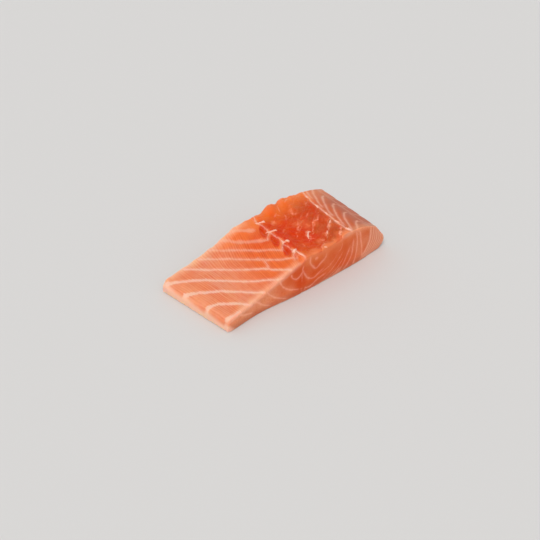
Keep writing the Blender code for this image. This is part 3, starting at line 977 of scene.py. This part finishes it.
def write_field(mesh, name, values):
    """Stores three numbers at each point of a mesh."""
    attribute = mesh.attributes.new(name, "FLOAT_VECTOR", "POINT")
    attribute.data.foreach_set("vector", np.asarray(values, np.float32).ravel())


def flesh_mesh(step, septum_width, thread_width):
    """The skin of the fillet with its fields."""
    skin = Skin(step)
    points = form(*skin.block.T)
    normals = point_normals(points, skin.faces)
    flesh = Flesh(skin, points, normals)
    septa_offset, septa_look = lay_septa(septum_width).nearest(points)
    threads_offset, threads_look = lay_threads(thread_width).nearest(points)
    relief = flesh.relief(septa_look[:, 0], septa_look[:, 2])
    placed = fit_to_frame(points + normals * relief[:, None])
    mesh = smooth_mesh("salmon_flesh", placed, skin.faces.tolist())
    write_field(mesh, "septa_offset", septa_offset)
    write_field(mesh, "septa_look", septa_look)
    write_field(mesh, "threads_offset", threads_offset)
    write_field(mesh, "threads_look", threads_look)
    for name, values in flesh.fields().items():
        write_field(mesh, name, np.stack(values, axis=-1))
    return mesh


# ---------------------------------------------------------------------------------------------
# Shreds of torn tissue

TIP_SIZE = 0.001
SHRED_RINGS = 22
SHRED_SIDES = 8
SHRED_REACH = 3.0
SHRED_WANDER = 0.35
SHRED_SINK = -0.6                 # how far its lower side sinks, as a share of its height
STRANDS = (0.0, -1.0, 1.0)        # how far to the side of a shred's path each strand lies
STRAND_THIN = 0.55                # how much thinner the outer strands are
STRAND_WIDTH = (0.62, 0.35, 1.3, 202)      # mean, change, and the size and seed of its noise
STRAND_HEIGHT = (0.5, 0.35, 1.1, 203)


def strand_points(skin_tree, points, half_width, height, aside, seed):
    """Points and thickness of a strand of a shred, draped over the flesh, tapering at both ends."""
    path, share = smooth_path(points, SHRED_RINGS)
    flat = np.concatenate([path, np.full((SHRED_RINGS, 1), 11.0 * seed)], axis=1)
    run = np.gradient(path, axis=0)
    run /= np.linalg.norm(run, axis=1, keepdims=True)
    spread = aside * half_width * (0.2 + 1.1 * np.abs(share - 0.35))
    path = path + spread[:, None] * np.stack([-run[:, 1], run[:, 0]], axis=-1)
    wander = [noise(flat, 1.4, 200), noise(flat, 1.4, 201)]
    start = TOP.carry(path + SHRED_WANDER * np.stack(wander, axis=-1)) - MIDDLE
    taper = np.sqrt(np.clip(np.sin(math.pi * share), 0.0, 1.0))
    thin = (1.0 - STRAND_THIN * abs(aside)) * taper
    width, lift = (reach * thin * (mean + change * noise(flat, size, noise_seed))
                   for reach, (mean, change, size, noise_seed) in
                   ((half_width, STRAND_WIDTH), (height, STRAND_HEIGHT)))
    turns = 2.0 * math.pi * np.arange(SHRED_SIDES) / SHRED_SIDES
    rings = []
    for index in range(SHRED_RINGS):
        above = Vector(start[index] + (0.0, 0.0, SHRED_REACH)) * MM
        place, normal, _, _ = skin_tree.ray_cast(above, Vector((0.0, 0.0, -1.0)))
        after = start[min(index + 1, SHRED_RINGS - 1)] - start[max(index - 1, 0)]
        side = normal.cross(Vector(after).normalized()).normalized()
        out = width[index] * np.outer(np.cos(turns), side)
        up = lift[index] * np.outer(np.maximum(np.sin(turns), SHRED_SINK), normal)
        rings.append(np.array(place) / MM + out + up)
    return np.concatenate(rings), np.outer(taper, np.maximum(np.sin(turns), 0.0)).ravel()


def join_tips(mesh):
    """Makes one point of each end ring that has shrunk to nothing."""
    joined = bmesh.new()
    joined.from_mesh(mesh)
    bmesh.ops.remove_doubles(joined, verts=joined.verts, dist=TIP_SIZE * MM)
    joined.to_mesh(mesh)
    joined.free()
    mesh.validate()


def shreds_mesh(flesh):
    """All shreds as closed tapered strands that sit half in the flesh."""
    skin_tree = BVHTree.FromObject(flesh, bpy.context.evaluated_depsgraph_get())
    rings = np.arange(SHRED_RINGS * SHRED_SIDES).reshape(SHRED_RINGS, SHRED_SIDES)
    after = np.roll(rings, -1, axis=1)
    sides = np.stack([rings[:-1], after[:-1], after[1:], rings[1:]], axis=-1).reshape(-1, 4)
    points, thickness, faces = [], [], []
    strands = itertools.product(SHREDS, STRANDS)
    for seed, ((path, half_width, height), aside) in enumerate(strands):
        places, shares = strand_points(skin_tree, path, half_width, height, aside, seed)
        points.append(places)
        thickness.append(shares)
        faces += (sides + seed * rings.size).tolist()
        faces += [(end + seed * rings.size).tolist() for end in (rings[0, ::-1], rings[-1])]
    mesh = smooth_mesh("membrane_shreds", np.concatenate(points), faces)
    write_field(mesh, "thickness", np.outer(np.concatenate(thickness), (1.0, 0.0, 0.0)))
    join_tips(mesh)
    return mesh


# ---------------------------------------------------------------------------------------------
# Shader maths


class Val:
    """A number that changes over the surface: a socket that takes part in Python expressions."""

    def __init__(self, recipe, socket):
        self.recipe, self.socket = recipe, socket

    def math(self, operation, *others):
        """A Math node on this value and others."""
        values = dict(enumerate((self,) + others))
        return Val(self.recipe, self.recipe.add("ShaderNodeMath", {"operation": operation}, values))

    def ease(self, low, high):
        """Smooth change from 0 at low to 1 at high."""
        settings = {"interpolation_type": "SMOOTHSTEP"}
        sockets = {"Value": self, "From Min": low, "From Max": high}
        return Val(self.recipe, self.recipe.add("ShaderNodeMapRange", settings, sockets))

    def fall(self, low, high):
        """Smooth change from 1 at low to 0 at high."""
        return 1.0 - self.ease(low, high)

    def __add__(self, other):
        return self.math("ADD", other)

    def __sub__(self, other):
        return self.math("SUBTRACT", other)

    def __rsub__(self, other):
        return self.math("MULTIPLY_ADD", -1.0, other)

    def __mul__(self, other):
        return self.math("MULTIPLY", other)

    __radd__ = __add__
    __rmul__ = __mul__


class Recipe:
    """The nodes of one material."""

    def __init__(self, name):
        self.material = bpy.data.materials.new(name)
        self.material.use_nodes = True
        self.tree = self.material.node_tree
        self.tree.nodes.clear()

    def add(self, kind, settings=None, sockets=None, output=0):
        """An output of a new node: its settings are set first, then its sockets."""
        node = self.tree.nodes.new(kind)
        for name, value in (settings or {}).items():
            setattr(node, name, value)
        for key, value in (sockets or {}).items():
            socket = node.inputs[key]
            value = value.socket if isinstance(value, Val) else value
            if isinstance(value, bpy.types.NodeSocket):
                self.tree.links.new(value, socket)
            elif socket.type == "RGBA":
                socket.default_value = (*value, 1.0)
            else:
                socket.default_value = value
        return node.outputs[output] if node.outputs else None

    def attribute(self, name):
        """A field on the mesh, as a vector."""
        return self.add("ShaderNodeAttribute", {"attribute_name": name}, output="Vector")

    def part(self, vector, index):
        """One of the three numbers of a vector."""
        return Val(self, self.add("ShaderNodeSeparateXYZ", None, {0: vector}, output=index))

    def field(self, name):
        """The three numbers of a field on the mesh."""
        vector = self.attribute(name)
        return [self.part(vector, index) for index in range(3)]

    def length_of(self, name):
        """Length of a field on the mesh, taken as a vector."""
        settings, sockets = {"operation": "LENGTH"}, {0: self.attribute(name)}
        return Val(self, self.add("ShaderNodeVectorMath", settings, sockets, output="Value"))

    def vector(self, x, y, z):
        """A vector of three numbers."""
        return self.add("ShaderNodeCombineXYZ", None, {0: x, 1: y, 2: z})

    def place_in_mm(self):
        """Place on the piece, in mm."""
        sockets = {0: self.add("ShaderNodeTexCoord", output="Object"), "Scale": 1.0 / MM}
        return self.add("ShaderNodeVectorMath", {"operation": "SCALE"}, sockets)

    def noise(self, place, size, detail=2.0, rough=0.5, warp=0.0):
        """Noise from 0 to 1 with lumps of the given size."""
        sockets = {"Vector": place, "Scale": 1.0 / size, "Detail": detail, "Roughness": rough,
                   "Distortion": warp}
        return Val(self, self.add("ShaderNodeTexNoise", None, sockets))

    def mix(self, share, first, second):
        """Colour that goes from the first to the second as the share goes from 0 to 1."""
        settings = {"data_type": "RGBA", "blend_type": "MIX", "clamp_factor": True}
        return self.add("ShaderNodeMix", settings, {0: share, 6: first, 7: second}, output=2)

    def paint(self, base, *coats):
        """Colour with coats laid over it in turn, each a share and a colour."""
        for share, coat in coats:
            base = self.mix(share, base, coat)
        return base

    def bump(self, height):
        """Normals of a height in mm."""
        return self.add("ShaderNodeBump", None, {"Height": height, "Distance": MM, "Strength": 1.0})

    def finish(self, sockets):
        """The material, with these sockets set on its surface shader."""
        shader = self.add("ShaderNodeBsdfPrincipled", {"subsurface_method": "RANDOM_WALK"}, sockets)
        self.add("ShaderNodeOutputMaterial", None, {"Surface": shader})
        return self.material


BUNDLE_SPACING = 1.25             # mm from one bundle of fibres to the next
BUNDLE_WANDER = 9.5               # radians
SEPTUM_BORDER = 2.6               # mm of paler flesh beside a septum
LINE_GUARD = (0.6, 1.1)           # mm beyond its half width where a line has to end
FOOT_SHADE = (0.5, 6.0)           # mm above the floor, over which painted shade darkens the foot of the cuts
FLESH_IOR = 1.38


def pale_line(recipe, name, specks, softness, spread, ragged, teeth=0.0):
    """How clear pale lines with ragged edges are, and how clear the soft border beside them is."""
    distance, half_width, strength = recipe.field(name + "_look")
    soft = half_width * (1.0 - strength) * spread + softness
    edge = recipe.length_of(name + "_offset") + (specks - 0.5) * (half_width * ragged + 0.3)
    core = (edge + teeth).fall(half_width - soft, half_width + soft)
    guard = distance.fall(*(half_width + reach for reach in LINE_GUARD))
    return core * guard * strength, distance.fall(0.0, SEPTUM_BORDER) * strength


def flesh_material(colours):
    """Moist raw flesh: fibres, septa, fat, torn red middle and duller dorsal flesh."""
    recipe = Recipe("salmon_flesh")
    place = recipe.place_in_mm()
    across, along, clear = recipe.field("fibres")
    red, dorsal, fat = recipe.field("regions")
    peach, glow, rim = recipe.field("tints")
    cut, torn, pale_cut = recipe.field("sides")
    flake, streak, edges = recipe.field("flakes")
    film, way, lit = recipe.field("tatters")

    broad = recipe.noise(place, 11.0)
    lumps = recipe.noise(place, 3.2, 3.0, 0.6)
    specks = recipe.noise(place, 0.7, 2.0, 0.6)
    grain = recipe.noise(place, 1.0, 3.0, 0.65)
    tufts = recipe.noise(place, 1.7, 3.0, 0.65, 0.8).ease(0.35, 0.65)
    wet = recipe.noise(place, 5.0)

    # Fibres: even bundles, with finer streaks between them
    patch = recipe.noise(recipe.vector(across * 0.2, along * 0.06, 0.0), 1.0)
    phase = across * (2.0 * math.pi / BUNDLE_SPACING) + patch * BUNDLE_WANDER
    bundles = phase.math("SINE") * 0.5 + 0.5
    streaks = recipe.noise(recipe.vector(across, along * 0.06, 3.0), 1.3, 3.0, 0.7)
    hairs = recipe.noise(recipe.vector(across, along * 0.05, 9.0), 0.3, 2.0, 0.6)
    comb = bundles * 0.5 + streaks.ease(0.35, 0.65) * 0.4 + hairs * 0.1
    fibre = comb * clear * (0.3 + 0.8 * recipe.noise(place, 6.0))

    # Septa, which the fibres comb into teeth, and fine threads
    teeth = (0.5 - lumps) * 1.1 + (comb - 0.5) * clear * 0.8
    septum, border = pale_line(recipe, "septa", specks, 0.4, 0.8, 0.3, teeth)
    thread, _ = pale_line(recipe, "threads", specks, 0.3, 0.5, 1.2)

    # Torn flakes: streaks along them, a painted red shadow before each edge and a broken pale line
    # on it
    cycle = flake.math("FRACT")
    along_flake = recipe.vector(flake * FLAKE_SPACING, streak * 0.16, 5.0)
    strands = recipe.noise(along_flake, 1.3, warp=0.3)
    scales = recipe.noise(recipe.vector(flake * 4.0, streak * 0.22, 2.0), 2.2, warp=0.6)
    scaly = scales.ease(0.4, 0.6)
    shade = cycle.ease(0.6, 1.0) * edges
    broken = recipe.noise(place, 2.4, 2.0, 0.6).ease(0.42, 0.6)
    pale_edge = cycle.fall(0.02, 0.1) * edges * broken
    wisp = (recipe.noise(place, 1.6, 3.0, 0.65, 1.2) - 0.5).math("ABSOLUTE").fall(0.0, 0.035)

    # Colour
    ripe = across.ease(22.0, 50.0) + across.fall(7.0, 16.0) * 0.35
    foot = recipe.part(place, 2).fall(*FOOT_SHADE)
    fibre_colour = recipe.mix(ripe, colours.muscle_deep, colours.muscle_dark)
    septum_colour = recipe.mix(cut, colours.septum, colours.cut_septum)
    thread_colour = recipe.mix(cut, colours.smear, colours.cut_septum)
    cut_flesh = recipe.paint(
        colours.cut,
        (pale_cut + (broad - 0.5) * 0.4, colours.cut_pale),
        (grain.ease(0.45, 0.7) * 0.3, colours.torn_deep_and_shadow),
    )
    worn = recipe.paint(
        colours.torn,
        (way.ease(0.2, 0.7), colours.torn_pale),
        (scaly * (0.5 - way * 0.35), colours.torn_deep_and_shadow),
        (strands.ease(0.45, 0.75) * (0.45 - way * 0.2), colours.torn_haze),
    )
    base = recipe.paint(
        colours.muscle,
        (broad.ease(0.35, 0.65), colours.muscle_pink),
        (ripe, colours.muscle_ripe),
        (fibre, fibre_colour),
        (cut * 0.95, cut_flesh),
        # painted shade on the cuts near the floor
        (foot * cut * 0.6, colours.dorsal),
        (glow, colours.glow),
        (torn * (1.0 - glow * 0.7), worn),
        # painted light along the cut edges of the torn middle
        (lit * 0.85, colours.lit_edge),
        (red * (0.75 + 0.5 * scaly), colours.torn_deep_and_shadow),
        (film * (0.15 + 0.55 * tufts + 0.3 * wisp), colours.torn_haze),
        (wisp * torn * lumps.ease(0.5, 0.62) * 0.35, colours.torn_haze),
        # painted shadow on the low side before each flake edge
        (shade * 0.5, colours.torn_deep_and_shadow),
        # dorsal strip: duller flesh, partly painted shade where it slopes away from the light
        (dorsal.ease(0.0, 0.35), colours.dorsal_deep_and_shade),
        (dorsal.ease(0.3, 1.0), colours.dorsal),
        (peach * (0.55 + 0.5 * lumps) * (1.0 - fibre * 0.5), colours.peach),
        (lumps.ease(0.5, 0.75) * (1.0 - torn * 0.8) * 0.25, colours.muscle_deep),
        (fat * (0.8 + 0.3 * lumps), colours.fat),
        (bundles.ease(0.25, 0.75) * clear * cut * 0.75, colours.muscle_deep),
        (border * 0.3 * (1.0 - torn * 0.6) * (1.0 - cut * 0.6), septum_colour),
        # pale rim along the cut edges, partly a painted highlight
        (rim * 0.42, colours.fat),
        (pale_edge * 0.6, colours.smear),
        (thread * (0.3 + 0.7 * tufts), thread_colour),
        (septum * (0.62 + 0.35 * lumps) * (1.0 - cut * 0.15), septum_colour),
    )

    # Gloss and fine relief
    rough = torn * (1.0 - way * 0.5)
    height = (fibre * -0.06 + septum * 0.04 + lumps * 0.25 * rough + specks * 0.035
              + lumps * 0.03 + recipe.noise(place, 0.28, 1.0) * 0.012 + strands * 0.15 * rough
              + wisp * 0.05 * torn)
    return recipe.finish({
        "Base Color": base,
        "Roughness": 0.38 + 0.2 * wet + septum * 0.06 + fat * 0.05 - torn * 0.12,
        "Normal": recipe.bump(height),
        "Subsurface Weight": 0.85,
        "Subsurface Radius": (1.0, 0.42, 0.2),
        "Subsurface Scale": 1.4 * MM,
        "IOR": FLESH_IOR,
        "Specular IOR Level": 0.1,
        "Coat Weight": 0.02 + torn * wet * 0.08,
        "Coat Roughness": 0.16,
    })


def shred_material(colours):
    """Wet torn tissue, nearly white where it is thick."""
    recipe = Recipe("torn_tissue")
    place = recipe.place_in_mm()
    thick = recipe.field("thickness")[0]
    lumps = recipe.noise(place, 1.2, 3.0, 0.6)
    strands = recipe.noise(place, 0.35, 2.0, 0.6, 1.5)
    base = recipe.paint(
        colours.smear,
        ((thick + (lumps - 0.5) * 0.6).ease(0.3, 1.0), colours.shred),
        (strands.ease(0.5, 0.8) * 0.3, colours.torn_haze),
    )
    return recipe.finish({
        "Base Color": base,
        "Roughness": 0.25 + 0.2 * lumps,
        "Normal": recipe.bump(lumps * 0.15 + strands * 0.06),
        "Subsurface Weight": 0.15,
        "Subsurface Radius": (1.0, 0.55, 0.4),
        "Subsurface Scale": 0.3 * MM,
        "IOR": FLESH_IOR,
        "Coat Weight": 0.3,
        "Coat Roughness": 0.15,
    })


# ---------------------------------------------------------------------------------------------
# Settings


def from_screen(red, green, blue):
    """Linear colour from its screen values of 0 to 255."""
    def linear(value):
        value /= 255.0
        return value / 12.92 if value <= 0.04045 else ((value + 0.055) / 1.055) ** 2.4
    return tuple(linear(value) for value in (red, green, blue))


def colour(name, description, screen):
    """A colour that a user may change, from its screen values."""
    return FloatVectorProperty(name=name, description=description, default=from_screen(*screen),
                               size=3, min=0.0, max=1.0, subtype="COLOR")


def length(name, description, default):
    """A length that a user may change, from its value in mm."""
    return FloatProperty(name=name, description=description, default=default * MM, min=0.0,
                         unit="LENGTH", precision=5)


class SalmonSizes(bpy.types.PropertyGroup):
    """Sizes that a user may change."""

    grid_step: length("Skin step", "Distance between points of the flesh's skin", 0.56)
    septum: length("Septum", "Half width of the pale lines between muscle blocks", 0.62)
    thread: length("Thread", "Half width of the fine pale threads", 0.42)


class SalmonColours(bpy.types.PropertyGroup):
    """Colours that a user may change."""

    muscle: colour("Muscle", "Plain belly muscle", (233, 154, 116))
    muscle_pink: colour("Pink muscle", "Pinker patches of belly muscle", (230, 154, 122))
    muscle_ripe: colour("Ripe muscle", "Deeper muscle of the upper belly", (237, 119, 60))
    muscle_deep: colour("Deep muscle", "Dark sides of the fibres", (218, 100, 56))
    muscle_dark: colour("Dark muscle", "Dark sides of the fibres of the upper belly", (202, 76, 32))
    peach: colour("Peach", "Pale muscle by the edges", (244, 198, 160))
    cut: colour("Cut", "Muscle on the cuts", (220, 87, 30))
    cut_pale: colour("Pale cut", "Paler flesh of the cuts", (241, 153, 110))
    cut_septum: colour("Septum on a cut", "Tissue between the blocks, cut across", (255, 184, 156))
    # painted light: lighter orange for the soft highlight along the cut edges
    lit_edge: colour("Lit edge", "Light orange flesh at the edge of the cuts", (238, 134, 82))
    glow: colour("Lit orange", "Thin lit flesh at the back", (250, 123, 46))
    torn: colour("Torn flesh", "Flesh of the torn middle", (219, 87, 10))
    torn_pale: colour("Pale torn flesh", "Paler patches of the torn middle", (186, 80, 32))
    torn_haze: colour("Torn haze", "Pale streaks along the torn flakes", (236, 132, 84))
    # deep red of the torn hollows, also the colour of the painted shadow before each flake edge
    torn_deep_and_shadow: colour("Deep torn flesh", "Deep red hollows", (214, 54, 0))
    # flesh just past the ridge, darker partly as painted shade
    dorsal_deep_and_shade: colour("Ridge flesh", "Flesh just past the ridge", (202, 92, 48))
    # duller dorsal flesh, partly painted shade; also the colour of the painted shade at the foot of
    # the cuts
    dorsal: colour("Dorsal flesh", "Duller flesh by the dorsal side", (178, 97, 72))
    septum: colour("Septum", "Tissue between the muscle blocks", (238, 192, 170))
    smear: colour("Smear", "Thin torn tissue", (248, 164, 132))
    shred: colour("Shred", "Thick torn tissue", (255, 206, 188))
    # pale fat, also the colour of the rim, which is partly a painted highlight
    fat: colour("Fat", "Pale fat", (245, 194, 168))
    floor: colour("Floor", "Pale floor", (212, 211, 210))


class SalmonSettings(bpy.types.PropertyGroup):
    """All settings of the salmon."""

    sizes: PointerProperty(type=SalmonSizes)
    colours: PointerProperty(type=SalmonColours)


# ---------------------------------------------------------------------------------------------
# Operators


def add_object(name, data):
    """A new object in the scene."""
    item = bpy.data.objects.new(name, data)
    bpy.context.scene.collection.objects.link(item)
    return item


class SALMON_OT_flesh(bpy.types.Operator):
    """Make the flesh of the fillet, in place of its plain solid"""

    bl_idname = "salmon.flesh"
    bl_label = "Flesh"

    def execute(self, context):
        settings = context.scene.salmon
        sizes = settings.sizes
        mesh = flesh_mesh(sizes.grid_step / MM, sizes.septum / MM, sizes.thread / MM)
        mesh.materials.append(flesh_material(settings.colours))
        piece = add_object("salmon_flesh", mesh)
        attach(piece, BODY)
        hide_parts(NODE)
        return {"FINISHED"}


class SALMON_OT_shreds(bpy.types.Operator):
    """Make the torn white tissue that lies on the flesh"""

    bl_idname = "salmon.shreds"
    bl_label = "Shreds"

    def execute(self, context):
        mesh = shreds_mesh(bpy.data.objects["salmon_flesh"])
        mesh.materials.append(shred_material(context.scene.salmon.colours))
        piece = add_object("membrane_shreds", mesh)
        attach(piece, BODY)
        return {"FINISHED"}


CAMERA_AIM = (-12.84, 2.22, 0.0)
CAMERA_DISTANCE = 402.5
CAMERA_AZIMUTH = math.radians(-45.75)
CAMERA_ELEVATION = math.radians(32.42)
CAMERA_ROLL = math.radians(1.89)
CAMERA_LENS = 42.306
FLOOR_REACH = 3.0                 # metres
WORLD_STRENGTH = 0.68
KEY_LIGHT = {"azimuth": -66.0, "elevation": 50.0, "spread": 30.0, "strength": 1.5,
             "tint": (1.0, 0.98, 0.96)}


def direction(azimuth, elevation):
    """Unit vector from the fillet towards a viewer; azimuth 0 stands in front of the front cut."""
    flat = math.cos(elevation)
    return Vector((math.sin(azimuth) * flat, -math.cos(azimuth) * flat, math.sin(elevation)))


def soft_light(name, azimuth, elevation, spread, strength, tint):
    """Wide soft light that falls evenly over the fillet and the floor; angles are in degrees."""
    data = bpy.data.lights.new(name, "SUN")
    data.angle = math.radians(spread)
    data.energy = strength
    data.color = tint
    item = add_object(name, data)
    away = direction(math.radians(azimuth), math.radians(elevation))
    item.location = away
    item.rotation_mode = "QUATERNION"
    item.rotation_quaternion = (-away).to_track_quat("-Z", "Y")


class SALMON_OT_stage(bpy.types.Operator):
    """Make the pale floor, the soft studio light and the camera"""

    bl_idname = "salmon.stage"
    bl_label = "Stage"

    def execute(self, context):
        colours = context.scene.salmon.colours
        reach = FLOOR_REACH
        mesh = bpy.data.meshes.new("floor")
        corners = [(-reach, -reach, 0), (reach, -reach, 0), (reach, reach, 0), (-reach, reach, 0)]
        mesh.from_pydata(corners, [], [(0, 1, 2, 3)])
        recipe = Recipe("floor")
        mesh.materials.append(recipe.finish({"Base Color": colours.floor, "Roughness": 0.7}))
        add_object("floor", mesh)

        world = bpy.data.worlds.new("studio")
        world.use_nodes = True
        background = world.node_tree.nodes["Background"]
        background.inputs["Color"].default_value = (1.0, 1.0, 1.0, 1.0)
        background.inputs["Strength"].default_value = WORLD_STRENGTH
        context.scene.world = world
        soft_light("key_light", **KEY_LIGHT)

        camera = add_object("camera", bpy.data.cameras.new("camera"))
        camera.data.lens = CAMERA_LENS
        away = direction(CAMERA_AZIMUTH, CAMERA_ELEVATION)
        camera.location = Vector(CAMERA_AIM) * MM + away * CAMERA_DISTANCE * MM
        turn = (-away).to_track_quat("-Z", "Y").to_matrix() @ Matrix.Rotation(CAMERA_ROLL, 3, "Z")
        camera.rotation_mode = "QUATERNION"
        camera.rotation_quaternion = turn.to_quaternion()
        context.scene.camera = camera
        context.scene.view_settings.view_transform = "Standard"
        return {"FINISHED"}


class SALMON_PT_panel(bpy.types.Panel):
    """Lists the pieces of the salmon and their settings"""

    bl_idname = "SALMON_PT_panel"
    bl_label = "Raw salmon fillet"
    bl_space_type = "VIEW_3D"
    bl_region_type = "UI"
    bl_category = "Salmon"

    def draw(self, context):
        settings = context.scene.salmon
        for operator in (SALMON_OT_flesh, SALMON_OT_shreds, SALMON_OT_stage):
            self.layout.operator(operator.bl_idname)
        for group in (settings.sizes, settings.colours):
            for name in group.__annotations__:
                self.layout.prop(group, name)


CLASSES = (SalmonSizes, SalmonColours, SalmonSettings, SALMON_OT_flesh, SALMON_OT_shreds,
           SALMON_OT_stage, SALMON_PT_panel)


def register():
    for item in CLASSES:
        bpy.utils.register_class(item)
    bpy.types.Scene.salmon = PointerProperty(type=SalmonSettings)


def unregister():
    del bpy.types.Scene.salmon
    for item in reversed(CLASSES):
        bpy.utils.unregister_class(item)


def main():
    register()
    bpy.ops.salmon.flesh()
    bpy.ops.salmon.shreds()
    bpy.ops.salmon.stage()


if __name__ == "__main__":
    main()
